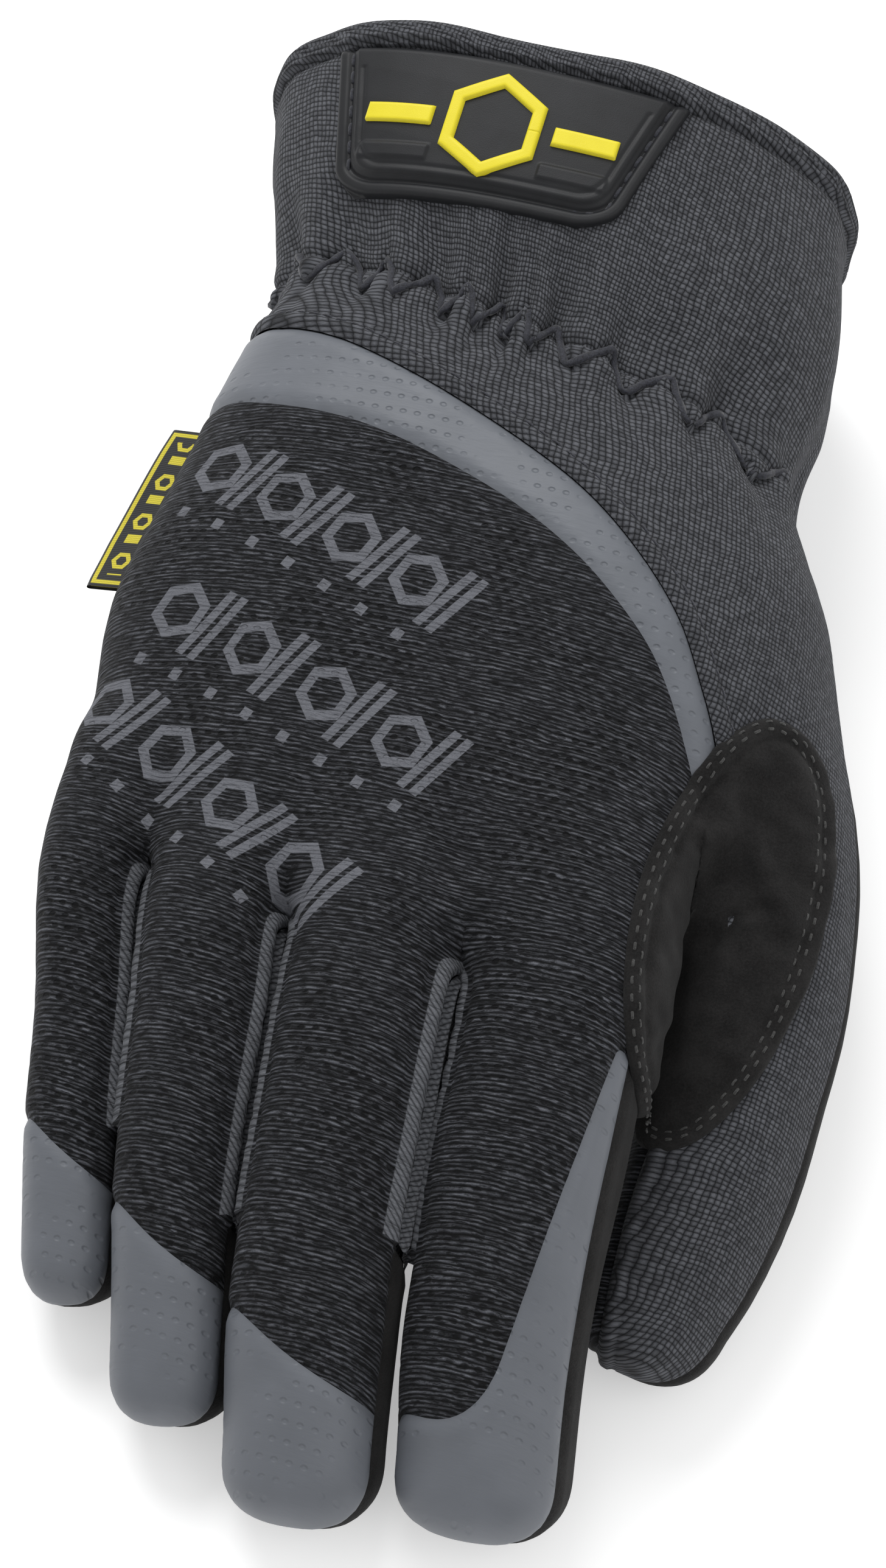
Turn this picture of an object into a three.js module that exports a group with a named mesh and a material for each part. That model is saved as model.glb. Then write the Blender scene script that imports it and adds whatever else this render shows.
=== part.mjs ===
import * as THREE from "three";

// A right-hand work glove, lying palm down: fingers towards -Y, cuff towards +Y, thumb towards +X.
// It is a hollow shell. One closed outer surface is worked out from the section tables below, cut along
// the seams into its pieces, and each piece is a wall of cloth under that surface.

// Driving dimensions, in millimetres
const HAND_WIDTH = 100;
const GLOVE_LENGTH = 250;
const WRIST_HEIGHT = 50;
const CLOTH = 1.6;
const GUSSET_CLOTH = 1;
const HEM_WIDTH = 5;
const HEM_LIFT = 0.8;
const SEAM_GAP = 0.5;
const PATCH_LIFT = 0.35;
const PATCH_CLOTH = 1.3;
const BADGE_WIDTH = 60;
const BADGE_HEIGHT = 25;
const BADGE_THICKNESS = 2.2;
const GATHER_DEPTH = 1.3;
const GATHER_COUNT = 15;
const LABEL_LENGTH = 30;
const LABEL_REACH = 7.5;
const LABEL_THICKNESS = 1.2;
const STEP = { x: 4.2, y: 5, z: 4.2 };
const SHORT_EDGE = 2.9;
const LONG_EDGE = 5.2;
const MERGE = 0.7;
const SEAM_STRAIGHT = 0.93;

// Shares: x and half-widths are hundredths of HAND_WIDTH, y is 250ths of GLOVE_LENGTH,
// z and half-heights are 50ths of WRIST_HEIGHT. Angles are degrees.
const X = HAND_WIDTH / 100;
const Y = GLOVE_LENGTH / 250;
const Z = WRIST_HEIGHT / 50;

// Sections of the cuff and the hand, from beyond the mouth to the roots of the fingers.
const HAND = {
  columns: ["x", "y", "z", "left", "right", "up", "down", "turn", "dip", "roll"],
  rows: [
    [5, 140, 39, 53, 52.5, 32, 40.5, -10, 0, 1],
    [2, 117, 37, 52, 50.8, 32, 38.5, -12, 0, 2],
    [1, 94, 36, 50.3, 53.5, 29, 33, -16, 0, 2],
    [1, 71, 34, 46.5, 50, 26, 27, -19, 0, 3],
    [0, 56, 33, 48, 53.5, 27, 33, -15, 0, 4],
    [0, 40, 32, 53.5, 56, 28, 34, -10, 0, 6],
    [-1, 18, 32, 59, 53, 27, 34, -6, 0, 9],
    [-4, -8, 33, 56, 46, 22, 22, -6, 2, 13],
    [-7, -20, 33, 51, 43, 18, 15, -11, 6, 15],
  ],
};

// Centre line and half-sizes of each finger, from inside the hand to the start of its rounded tip.
const FINGER_COLUMNS = ["x", "y", "z", "half", "rise"];
const FINGERS = {
  little: {
    roll: 15, tip: 10, splay: -20,
    rows: [[-50, -5, 27, 10, 12], [-52, -25, 27, 8.6, 12], [-49.2, -46, 23, 8, 11],
      [-47.6, -64, 17, 8.2, 10.5], [-45.2, -80, 10, 8, 11]],
  },
  ring: {
    roll: 15, tip: 10, splay: -7,
    rows: [[-28, -8, 33, 11.5, 13], [-30.3, -30, 33.5, 11, 13.5], [-29.7, -48, 31, 10.8, 12.5],
      [-29.2, -66, 25, 10.3, 12], [-28.2, -82, 17.5, 10, 11], [-26.2, -97, 10, 9.6, 11.2]],
  },
  middle: {
    roll: 15, tip: 11, splay: 6,
    rows: [[-5, -8, 38, 13, 14], [-4, -30, 39.5, 13, 14.5], [-4.2, -50, 37, 13, 13.5],
      [-5, -70, 31, 13, 13], [-5.3, -90, 21, 13, 12.5], [-3.6, -108.5, 11, 12.4, 12.4]],
  },
  index: {
    roll: 14, tip: 11, splay: 19,
    rows: [[24, -4, 42, 15, 14], [25.8, -28, 43, 14.4, 14.5], [25.4, -48, 40, 14.4, 14],
      [23.7, -68, 33, 14.2, 13.5], [23.2, -87, 23, 14, 12.5], [24, -106.5, 11.8, 13.4, 13]],
  },
  thumb: {
    roll: 18, tip: 12, splay: 26,
    rows: [[24, 42, 28, 25, 22], [39, 20, 27, 20.6, 21], [49.7, 0, 25, 17.6, 19], [54.6, -20, 22, 14.7, 17],
      [54.3, -40, 19, 13.3, 15.5], [51.4, -60, 14.5, 13, 14.5], [46.6, -75.5, 11.2, 11.4, 12.6]],
  },
};

// Seams and print borders seen from above.
const ARC = [[-75, 88], [-43.5, 72], [-27, 65], [-10, 56.2], [4, 48.5], [16.3, 40], [26, 31], [34, 20.9],
  [39, 11.5], [43.3, 2], [47, -12], [46.5, -30], [43, -50], [39, -75], [38, -110]];
const BAND = [[-75, 60], [-52, 58], [-37, 53.6], [-21, 49], [-5.2, 42.1], [6, 36], [16.8, 28.3], [24.8, 20.8],
  [31.2, 13.6], [36.3, 5.2], [41, -5], [48, -24]];
// Where each smooth fingertip starts on the back: y at the centre line, its slope across, its hollow.
const TIPS = {
  little: { y: -72, slope: -0.55, hollow: 0.03 },
  ring: { y: -86, slope: -0.5, hollow: 0.03 },
  middle: { y: -101, slope: -0.45, hollow: 0.02 },
  index: { y: -105, slope: 0.1, hollow: 0.02 },
};
const TIP_STRIP = { x: 33.5, y: -60, slope: 0.24, top: -50, round: 9 };
// Where the knit side strip of each gap gives way to suede.
const GUSSET_END = { little_ring: -66, ring_middle: -79, middle_index: -81 };
const BACK_EDGE = { hand: 0, thumb: -0.1, finger: 0.3 };
const GUSSET_LOW = -0.5;
const FINGER_BLEND = 6;
const THUMB_BLEND = 14;
const SQUARENESS = 2.5;

// The oval patch over the crotch of the thumb.
const SADDLE = { x: 49, y: -23, z: 40, across: 14, along: 34, depth: 15, lean: -9 };

const COLOURS = {
  knit: 0x43464c, mesh: 0x232428, print: 0x7a818c, suede: 0x1b1b1c, rubber: 0x26282b, emblem: 0xf2df2a,
  label: 0x151515,
};

const rad = THREE.MathUtils.degToRad;

// A smooth curve through the values of one column, k steps to a row.
function smooth(values, k) {
  const out = [];
  const at = (i) => values[Math.min(Math.max(i, 0), values.length - 1)];
  for (let i = 0; i + 1 < values.length; i++) {
    for (let j = 0; j < k; j++) {
      const t = j / k;
      const [a, b, c, d] = [at(i - 1), at(i), at(i + 1), at(i + 2)];
      out.push(b + 0.5 * t * (c - a + t * (2 * a - 5 * b + 4 * c - d + t * (3 * (b - c) + d - a))));
    }
  }
  out.push(values[values.length - 1]);
  return out;
}

// A limb is a list of cross-sections with a frame each: forward, side (towards the thumb) and up.
function makeSections(columns, rows, roll, k = 4) {
  const col = {};
  columns.forEach((name, j) => (col[name] = smooth(rows.map((row) => row[j]), k)));
  const centre = col.x.map((x, i) => new THREE.Vector3(x * X, col.y[i] * Y, col.z[i] * Z));
  return centre.map((c, i) => {
    const forward = new THREE.Vector3();
    if (col.turn) {
      const [turn, dip] = [rad(col.turn[i]), rad(col.dip[i])];
      forward.set(Math.sin(turn) * Math.cos(dip), -Math.cos(turn) * Math.cos(dip), -Math.sin(dip));
    } else {
      forward.subVectors(centre[Math.min(i + 1, centre.length - 1)], centre[Math.max(i - 1, 0)]).normalize();
    }
    const side = new THREE.Vector3(-forward.y, forward.x, 0).normalize();
    const up = new THREE.Vector3().crossVectors(forward, side);
    const r = rad(col.roll ? col.roll[i] : roll);
    const rolled = side.clone().multiplyScalar(Math.cos(r)).addScaledVector(up, Math.sin(r));
    up.multiplyScalar(Math.cos(r)).addScaledVector(side, -Math.sin(r));
    const half = col.half && col.half[i] * X;
    const rise = col.rise && col.rise[i] * Z;
    return {
      c, forward, side: rolled, up,
      left: half || col.left[i] * X, right: half || col.right[i] * X,
      top: rise || col.up[i] * Z, bottom: rise || col.down[i] * Z,
    };
  });
}

const handAt = makeSections(HAND.columns, HAND.rows, 0);
const hand = { name: "hand", at: handAt, tip: 13 * X, splay: 0, edge: BACK_EDGE.hand };
const fingers = Object.entries(FINGERS).map(([name, f]) => ({
  name, at: makeSections(FINGER_COLUMNS, f.rows, f.roll), tip: f.tip * X, splay: f.splay * X,
  edge: name === "thumb" ? BACK_EDGE.thumb : BACK_EDGE.finger,
}));
const limbs = [hand, ...fingers];

// Where a point lies on a limb: share along it, offsets across and up, and distance to its surface.
const offset = new THREE.Vector3();
function locate(limb, p) {
  const at = limb.at;
  let s = 0;
  let ahead = offset.subVectors(p, at[0].c).dot(at[0].forward);
  const behind = Math.max(0, -ahead);
  for (let i = 0; i + 1 < at.length; i++) {
    const next = offset.subVectors(p, at[i + 1].c).dot(at[i + 1].forward);
    if (ahead > 0) s += next < 0 ? ahead / (ahead - next) : 1;
    ahead = next;
  }
  const i = Math.min(Math.floor(s), at.length - 2);
  const t = s - i;
  const [a, b] = [at[i], at[i + 1]];
  const mix = (key) => a[key] + (b[key] - a[key]) * t;
  const centre = a.c.clone().lerp(b.c, t);
  const side = a.side.clone().lerp(b.side, t).normalize();
  const up = a.up.clone().lerp(b.up, t).normalize();
  offset.subVectors(p, centre);
  const u = offset.dot(side);
  const v = offset.dot(up);
  const w = Math.max(0, ahead) + behind;
  const half = u < 0 ? mix("left") : mix("right");
  const rise = v > 0 ? mix("top") : mix("bottom");
  const n = SQUARENESS;
  const parts = [Math.abs(u) / half, Math.abs(v) / rise, w / limb.tip];
  const q = Math.pow(parts[0] ** n + parts[1] ** n + parts[2] ** n, 1 / n);
  let d = -0.7 * Math.min(half, rise);
  if (q > 0.3) {
    const slope = Math.hypot(parts[0] ** (n - 1) / half, parts[1] ** (n - 1) / rise, parts[2] ** (n - 1) / limb.tip);
    d = (q - 1) / (slope * Math.pow(q, 1 - n));
  }
  return { d, u, v, s: s / (at.length - 1), e: v / rise, rise, half };
}

function blendMin(a, b, k) {
  const h = Math.max(k - Math.abs(a - b), 0) / k;
  return Math.min(a, b) - (h * h * k) / 4;
}

// While the surface is worked out the fingers stand apart, so that narrow gaps stay open.
const SPREAD_RANGE = {
  little: [-18, -48], ring: [-25, -58], middle: [-30, -58], index: [-30, -58], thumb: [-16, -56],
};
function spread(limb, y) {
  const [from, to] = SPREAD_RANGE[limb.name];
  return limb.splay * THREE.MathUtils.smoothstep(from - y / Y, 0, from - to);
}

// Gathers under the elastic line: they fade out either way along the cuff.
function gathers(place) {
  const along = (place.s - 0.372) / 0.06;
  const fade = Math.exp(-along * along);
  const angle = Math.atan2(place.v, place.u);
  return GATHER_DEPTH * fade * (1 + Math.cos(angle * GATHER_COUNT));
}

const probe = new THREE.Vector3();
function outerDistance(q) {
  const place = locate(hand, q);
  const base = place.d + gathers(place);
  let best = Infinity;
  let nearest = fingers[0];
  let least = Infinity;
  for (const limb of fingers) {
    const d = locate(limb, probe.set(q.x - spread(limb, q.y), q.y, q.z)).d;
    best = Math.min(best, blendMin(base, d, limb.name === "thumb" ? THUMB_BLEND : FINGER_BLEND));
    if (d < least) [least, nearest] = [d, limb];
  }
  return { d: Math.max(best, -q.z), nearest };
}

// Surface of the whole glove on a grid of cells: one vertex to a cell that the surface passes.
function growSurface() {
  const low = new THREE.Vector3(-86 * X, -128 * Y, -6);
  const size = [192 * X, 268 * Y, 78 * Z];
  const step = [STEP.x, STEP.y, STEP.z];
  const count = size.map((s, i) => Math.ceil(s / step[i]) + 1);
  const index = (i, j, k) => (k * count[1] + j) * count[0] + i;
  const nodeAt = (i, j, k) => new THREE.Vector3(low.x + i * step[0], low.y + j * step[1], low.z + k * step[2]);
  const field = new Float64Array(count[0] * count[1] * count[2]);
  for (let k = 0; k < count[2]; k++)
    for (let j = 0; j < count[1]; j++)
      for (let i = 0; i < count[0]; i++) field[index(i, j, k)] = outerDistance(nodeAt(i, j, k)).d || 1e-6;
  // Where inside and outside meet cornerwise on a cell's side, the nearest corner changes over.
  const [row, slab] = [count[0], count[0] * count[1]];
  for (let round = 0; round < 6; round++)
    for (let n = 0; n + slab + row + 1 < field.length; n++)
      for (const [a, b] of [[1, row], [1, slab], [row, slab]]) {
        const four = [n, n + a, n + a + b, n + b];
        const inside = four.map((m) => field[m] < 0);
        if (inside[0] !== inside[2] || inside[1] !== inside[3] || inside[0] === inside[1]) continue;
        const least = four.reduce((m, other) => (Math.abs(field[other]) < Math.abs(field[m]) ? other : m));
        field[least] = field[least] < 0 ? 0.05 : -0.05;
      }
  const cellVertex = new Map();
  const points = [];
  const corner = [0, 1, 2, 3, 4, 5, 6, 7].map((c) => [c & 1, (c >> 1) & 1, c >> 2]);
  function vertexOf(i, j, k) {
    const key = index(i, j, k);
    if (cellVertex.has(key)) return cellVertex.get(key);
    const sum = new THREE.Vector3();
    let n = 0;
    for (let a = 0; a < 8; a++)
      for (let b = a + 1; b < 8; b++) {
        const across = corner[a].reduce((t, x, m) => t + Math.abs(x - corner[b][m]), 0);
        if (across !== 1) continue;
        const fa = field[index(i + corner[a][0], j + corner[a][1], k + corner[a][2])];
        const fb = field[index(i + corner[b][0], j + corner[b][1], k + corner[b][2])];
        if (fa < 0 === fb < 0) continue;
        const pa = nodeAt(i + corner[a][0], j + corner[a][1], k + corner[a][2]);
        const pb = nodeAt(i + corner[b][0], j + corner[b][1], k + corner[b][2]);
        sum.add(pa.lerp(pb, fa / (fa - fb)));
        n++;
      }
    const q = sum.divideScalar(n);
    for (let turn = 0; turn < 3; turn++) {
      const d = outerDistance(q).d;
      const h = 0.3;
      const slope = ["x", "y", "z"].map((axis) => {
        const moved = q.clone();
        moved[axis] += h;
        return (outerDistance(moved).d - d) / h;
      });
      const g = new THREE.Vector3(...slope);
      q.addScaledVector(g, -d / Math.max(g.lengthSq(), 0.2));
    }
    const { nearest } = outerDistance(q);
    const p = new THREE.Vector3(q.x - spread(nearest, q.y), q.y, Math.max(0, q.z));
    points.push({ p, finger: nearest });
    cellVertex.set(key, points.length - 1);
    return points.length - 1;
  }
  const faces = [];
  const ring = [[[0, 1, 0], [0, 0, 1]], [[0, 0, 1], [1, 0, 0]], [[1, 0, 0], [0, 1, 0]]];
  for (let k = 1; k + 1 < count[2]; k++)
    for (let j = 1; j + 1 < count[1]; j++)
      for (let i = 1; i + 1 < count[0]; i++)
        for (let axis = 0; axis < 3; axis++) {
          const next = [i, j, k];
          next[axis] += 1;
          const inside = field[index(i, j, k)] < 0;
          if (inside === field[index(...next)] < 0) continue;
          const [[ax, ay, az], [bx, by, bz]] = ring[axis];
          const quad = [[i, j, k], [i - ax, j - ay, k - az], [i - ax - bx, j - ay - by, k - az - bz],
            [i - bx, j - by, k - bz]].map((cell) => vertexOf(...cell));
          if (!inside) quad.reverse();
          const [a, b, c, d] = quad.map((v) => points[v].p);
          if (a.distanceTo(c) < b.distanceTo(d)) faces.push([quad[0], quad[1], quad[2]], [quad[0], quad[2], quad[3]]);
          else faces.push([quad[1], quad[2], quad[3]], [quad[1], quad[3], quad[0]]);
        }
  return { points, faces, marks: {}, regions: {} };
}

// Signed distance in plan to a smooth line: positive on the cuff's side of it.
function planLine(line) {
  const xs = smooth(line.map((row) => row[0] * X), 4);
  const ys = smooth(line.map((row) => row[1] * Y), 4);
  return (p) => {
    let best = Infinity;
    let sign = 1;
    for (let i = 0; i + 1 < xs.length; i++) {
      const [dx, dy] = [xs[i + 1] - xs[i], ys[i + 1] - ys[i]];
      const t = THREE.MathUtils.clamp(((p.x - xs[i]) * dx + (p.y - ys[i]) * dy) / (dx * dx + dy * dy), 0, 1);
      const [ex, ey] = [p.x - xs[i] - t * dx, p.y - ys[i] - t * dy];
      const d = Math.hypot(ex, ey);
      if (d < best) [best, sign] = [d, dx * ey - dy * ex > 0 ? 1 : -1];
    }
    return sign * best;
  };
}

// Signed distance to a plane square to a section of the hand: positive towards the mouth.
function sectionPlane(x, y, turn) {
  const t = rad(turn);
  return (p) => (p.x - x * X) * -Math.sin(t) + (p.y - y * Y) * Math.cos(t);
}

// Height over a seam that runs along the sides of the hand and the fingers.
function sideHeight(level) {
  return (p) => {
    let sum = 0;
    let weight = 0;
    for (const limb of limbs) {
      const place = locate(limb, p);
      const w = Math.exp(-Math.max(place.d, -6) / 1.6);
      sum += w * (place.e - level(limb)) * place.rise;
      weight += w;
    }
    return sum / weight;
  };
}

const centreX = (finger, y) => {
  const at = finger.at;
  let i = 0;
  while (i + 2 < at.length && at[i + 1].c.y > y) i++;
  const t = THREE.MathUtils.clamp((y - at[i].c.y) / (at[i + 1].c.y - at[i].c.y), 0, 1);
  return at[i].c.x + t * (at[i + 1].c.x - at[i].c.x);
};

// Marks a region of the surface, where the function is over nought, and cuts the triangles along its border.
function markRegion(mesh, name, fn, snap = true) {
  const { points, faces, marks } = mesh;
  mesh.regions[name] = fn;
  const g = points.map((point, i) => fn(point.p, point.finger, (known) => marks[known][i]));
  points.forEach((point, i) => {
    if (Math.abs(g[i]) < (point.fixed ? MERGE : 1e-4)) g[i] = 0;
  });
  const shift = new Map();
  for (const face of snap ? faces : [])
    for (let e = 0; e < 3; e++) {
      const [i, j] = [face[e], face[(e + 1) % 3]];
      if (g[i] * g[j] >= 0) continue;
      const t = g[i] / (g[i] - g[j]);
      const [from, to, share] = t < 0.5 ? [i, j, t] : [j, i, 1 - t];
      if (share < 0.32 && !points[from].fixed && (!shift.has(from) || shift.get(from).share > share))
        shift.set(from, { to, share });
    }
  const moved = [...shift].map(([i, { to, share }]) => [i, points[i].p.clone().lerp(points[to].p, share)]);
  for (const [i, p] of moved) {
    points[i].p = p;
    points[i].fixed = true;
    g[i] = 0;
  }
  const added = new Map();
  const split = (i, j) => {
    const key = i < j ? i + "_" + j : j + "_" + i;
    if (!added.has(key)) {
      const t = g[i] / (g[i] - g[j]);
      const normal = points[i].normal && points[i].normal.clone().lerp(points[j].normal, t);
      points.push({ p: points[i].p.clone().lerp(points[j].p, t), finger: points[i].finger, fixed: true, normal });
      for (const mark of Object.values(marks)) mark.push(mark[i] + (mark[j] - mark[i]) * t);
      g.push(0);
      added.set(key, points.length - 1);
    }
    return added.get(key);
  };
  const out = [];
  for (const face of faces) {
    const signs = face.map((i) => Math.sign(g[i]));
    const crossing = signs.includes(1) && signs.includes(-1);
    if (!crossing) {
      out.push(face);
      continue;
    }
    const zero = signs.indexOf(0);
    if (zero >= 0) {
      const [a, b, c] = [face[zero], face[(zero + 1) % 3], face[(zero + 2) % 3]];
      const m = split(b, c);
      out.push([a, b, m], [a, m, c]);
      continue;
    }
    const odd = [0, 1, 2].find((i) => signs[i] !== signs[(i + 1) % 3] && signs[i] !== signs[(i + 2) % 3]);
    const [a, b, c] = [face[odd], face[(odd + 1) % 3], face[(odd + 2) % 3]];
    const [m, n] = [split(a, b), split(a, c)];
    out.push([a, m, n], [m, b, c], [m, c, n]);
  }
  mesh.faces = out;
  marks[name] = g;
}

// Whether a triangle lies in a region: by its corners, or by its middle where all three are on the border.
function isInside(mesh, name, face) {
  const sum = face.reduce((total, i) => total + mesh.marks[name][i], 0);
  if (sum !== 0) return sum > 0;
  const centre = face.reduce((total, i) => total.add(mesh.points[i].p), new THREE.Vector3()).divideScalar(3);
  const finger = mesh.points[face[0]].finger;
  const value = (known) => mesh.regions[known](centre, finger, value);
  return value(name) > 0;
}

// Takes out short edges, and longer ones where the surface is nearly flat. Seams keep their lines.
function evenOut(mesh, labels) {
  const { points, faces } = mesh;
  const alive = faces.map(() => true);
  const around = points.map(() => new Set());
  faces.forEach((face, f) => face.forEach((i) => around[i].add(f)));
  const normalOf = (tri) => {
    const [a, b, c] = tri.map((i) => points[i].p);
    return new THREE.Vector3().crossVectors(b.clone().sub(a), c.clone().sub(a));
  };
  const ringOf = (i) => new Set([...around[i]].flatMap((f) => faces[f]).filter((j) => j !== i));
  const sides = (i, j) => [...around[i]].filter((f) => around[j].has(f)).map((f) => labels[f]);
  const isSeam = (i, j) => new Set(sides(i, j)).size > 1;
  const towards = (i, j) => points[j].p.clone().sub(points[i].p).normalize();
  function mayMove(from, to, ring) {
    const along = [...ring].filter((j) => isSeam(from, j));
    if (!along.length) return true;
    if (along.length !== 2 || !along.includes(to)) return false;
    return towards(from, along[0]).dot(towards(from, along[1])) < -SEAM_STRAIGHT;
  }
  for (let pass = 0; pass < 4; pass++) {
    const edges = [];
    faces.forEach((face, f) => {
      if (alive[f]) for (let e = 0; e < 3; e++) if (face[e] < face[(e + 1) % 3]) edges.push([face[e], face[(e + 1) % 3]]);
    });
    const span = ([i, j]) => points[i].p.distanceTo(points[j].p);
    edges.sort((a, b) => span(a) - span(b));
    for (const edge of edges) {
      const length = span(edge);
      if (length > LONG_EDGE) break;
      for (const [from, to] of [edge, [edge[1], edge[0]]]) {
        if (!around[from].size || !around[to].size) continue;
        const shared = [...around[from]].filter((f) => around[to].has(f));
        const ring = ringOf(from);
        if (shared.length !== 2 || !mayMove(from, to, ring)) continue;
        const both = [...ringOf(to)].filter((j) => ring.has(j)).length;
        if (both !== 2 || around[from].size < 4) continue;
        const least = length < SHORT_EDGE ? 0.8 : 0.985;
        const kept = [...around[from]].filter((f) => !around[to].has(f));
        const fair = kept.every((f) => {
          const before = normalOf(faces[f]);
          const after = normalOf(faces[f].map((i) => (i === from ? to : i)));
          const longest = Math.max(...faces[f].map((i) => points[i].p.distanceTo(points[to].p)));
          return before.dot(after) > least * before.length() * after.length() && after.length() > 4 && longest < 15;
        });
        if (!fair) continue;
        for (const f of shared) {
          alive[f] = false;
          faces[f].forEach((i) => around[i].delete(f));
        }
        for (const f of kept) {
          faces[f] = faces[f].map((i) => (i === from ? to : i));
          around[to].add(f);
        }
        around[from].clear();
        break;
      }
    }
  }
  mesh.faces = faces.filter((_, f) => alive[f]);
  return labels.filter((_, f) => alive[f]);
}

const glove = growSurface();
const [INDEX, THUMB] = [fingers[3], fingers[4]];
const arcLine = planLine(ARC);
const bandLine = planLine(BAND);
const mouthPlane = sectionPlane(2, 118.5, -8);
markRegion(glove, "beyond", mouthPlane);
markRegion(glove, "hem", (p) => mouthPlane(p) + HEM_WIDTH);
markRegion(glove, "cuff", sectionPlane(1, 71, -19));
const backHeight = sideHeight((limb) => limb.edge);
const lowHeight = sideHeight(() => GUSSET_LOW);
markRegion(glove, "back", (p, finger, value) => Math.min(backHeight(p), -value("cuff")));
markRegion(glove, "knit", (p, finger, value) => {
  const outside = finger === INDEX && p.y < -25 * Y ? -5 : arcLine(p);
  return Math.min(outside, value("back"));
});
markRegion(glove, "band", (p, finger, value) => {
  const within = p.y < -25 * Y ? -5 : bandLine(p);
  return Math.min(within, value("back"), -value("knit"));
});
markRegion(glove, "tip", (p, finger, value) => {
  if (finger === THUMB || p.y > -45 * Y) return -5;
  const tip = TIPS[finger.name];
  const u = p.x - centreX(finger, p.y);
  const end = tip.y * Y + tip.slope * u + tip.hollow * u * u - p.y;
  const strip = p.x - (TIP_STRIP.x + (TIP_STRIP.y - p.y / Y) * -TIP_STRIP.slope) * X;
  const side = Math.min(strip, TIP_STRIP.top * Y - p.y);
  const printed = finger === INDEX ? -blendMin(-end, -side, TIP_STRIP.round * X) : end;
  return Math.min(printed, value("back"));
});
const gapOf = (p) => {
  const x = ["little", "ring", "middle", "index"].filter((name, i) => p.x > centreX(fingers[i], p.y)).length;
  return [null, "little_ring", "ring_middle", "middle_index", null][x];
};
markRegion(glove, "gusset", (p, finger, value) => {
  const gap = gapOf(p);
  if (!gap || finger === THUMB || p.y > -12 * Y) return -5;
  return Math.min(lowHeight(p), -value("back"), p.y - GUSSET_END[gap] * Y);
});
// The piece that each triangle of the surface belongs to.
function labelOf(face) {
  const is = (name) => isInside(glove, name, face);
  const centre = face.reduce((sum, i) => sum.add(glove.points[i].p), new THREE.Vector3()).divideScalar(3);
  if (is("beyond")) return null;
  if (is("hem")) return "cuff_hem";
  if (is("cuff")) return "cuff";
  if (is("knit")) return "knit_back";
  if (is("band")) return "knuckle_band";
  if (is("tip")) return "tip_" + glove.points[face[0]].finger.name;
  if (is("back")) return "back_panel";
  return is("gusset") ? "gusset_" + gapOf(centre) : "palm_panel";
}

// Joins small stray patches to the piece around them, so that each piece is one patch of surface.
function tidyLabels(faces, labels) {
  const byEdge = new Map();
  faces.forEach((face, f) => {
    for (let e = 0; e < 3; e++) {
      const key = [face[e], face[(e + 1) % 3]].sort((a, b) => a - b).join("_");
      if (!byEdge.has(key)) byEdge.set(key, []);
      byEdge.get(key).push(f);
    }
  });
  const near = faces.map(() => []);
  for (const pair of byEdge.values()) {
    if (pair.length !== 2) continue;
    near[pair[0]].push(pair[1]);
    near[pair[1]].push(pair[0]);
  }
  for (let round = 0; round < 4; round++) {
    const seen = new Set();
    const groups = {};
    faces.forEach((face, start) => {
      if (seen.has(start) || !labels[start]) return;
      const group = [start];
      seen.add(start);
      for (const f of group)
        for (const other of near[f])
          if (!seen.has(other) && labels[other] === labels[f]) {
            seen.add(other);
            group.push(other);
          }
      (groups[labels[start]] ||= []).push(group);
    });
    for (const list of Object.values(groups)) {
      list.sort((a, b) => b.length - a.length);
      for (const group of list.slice(1))
        for (const f of group) {
          const other = near[f].map((m) => labels[m]).find((label) => label && label !== labels[group[0]]);
          if (other) labels[f] = other;
        }
    }
  }
  return labels;
}

// Vertex normals of the whole surface, so that neighbouring pieces share them along their seam.
function surfaceNormals(mesh) {
  const normals = mesh.points.map(() => new THREE.Vector3());
  for (const [i, j, k] of mesh.faces) {
    const [a, b, c] = [i, j, k].map((m) => mesh.points[m].p);
    const n = new THREE.Vector3().crossVectors(b.clone().sub(a), c.clone().sub(a));
    for (const m of [i, j, k]) normals[m].add(n);
  }
  return normals.map((n) => n.normalize());
}

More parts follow.
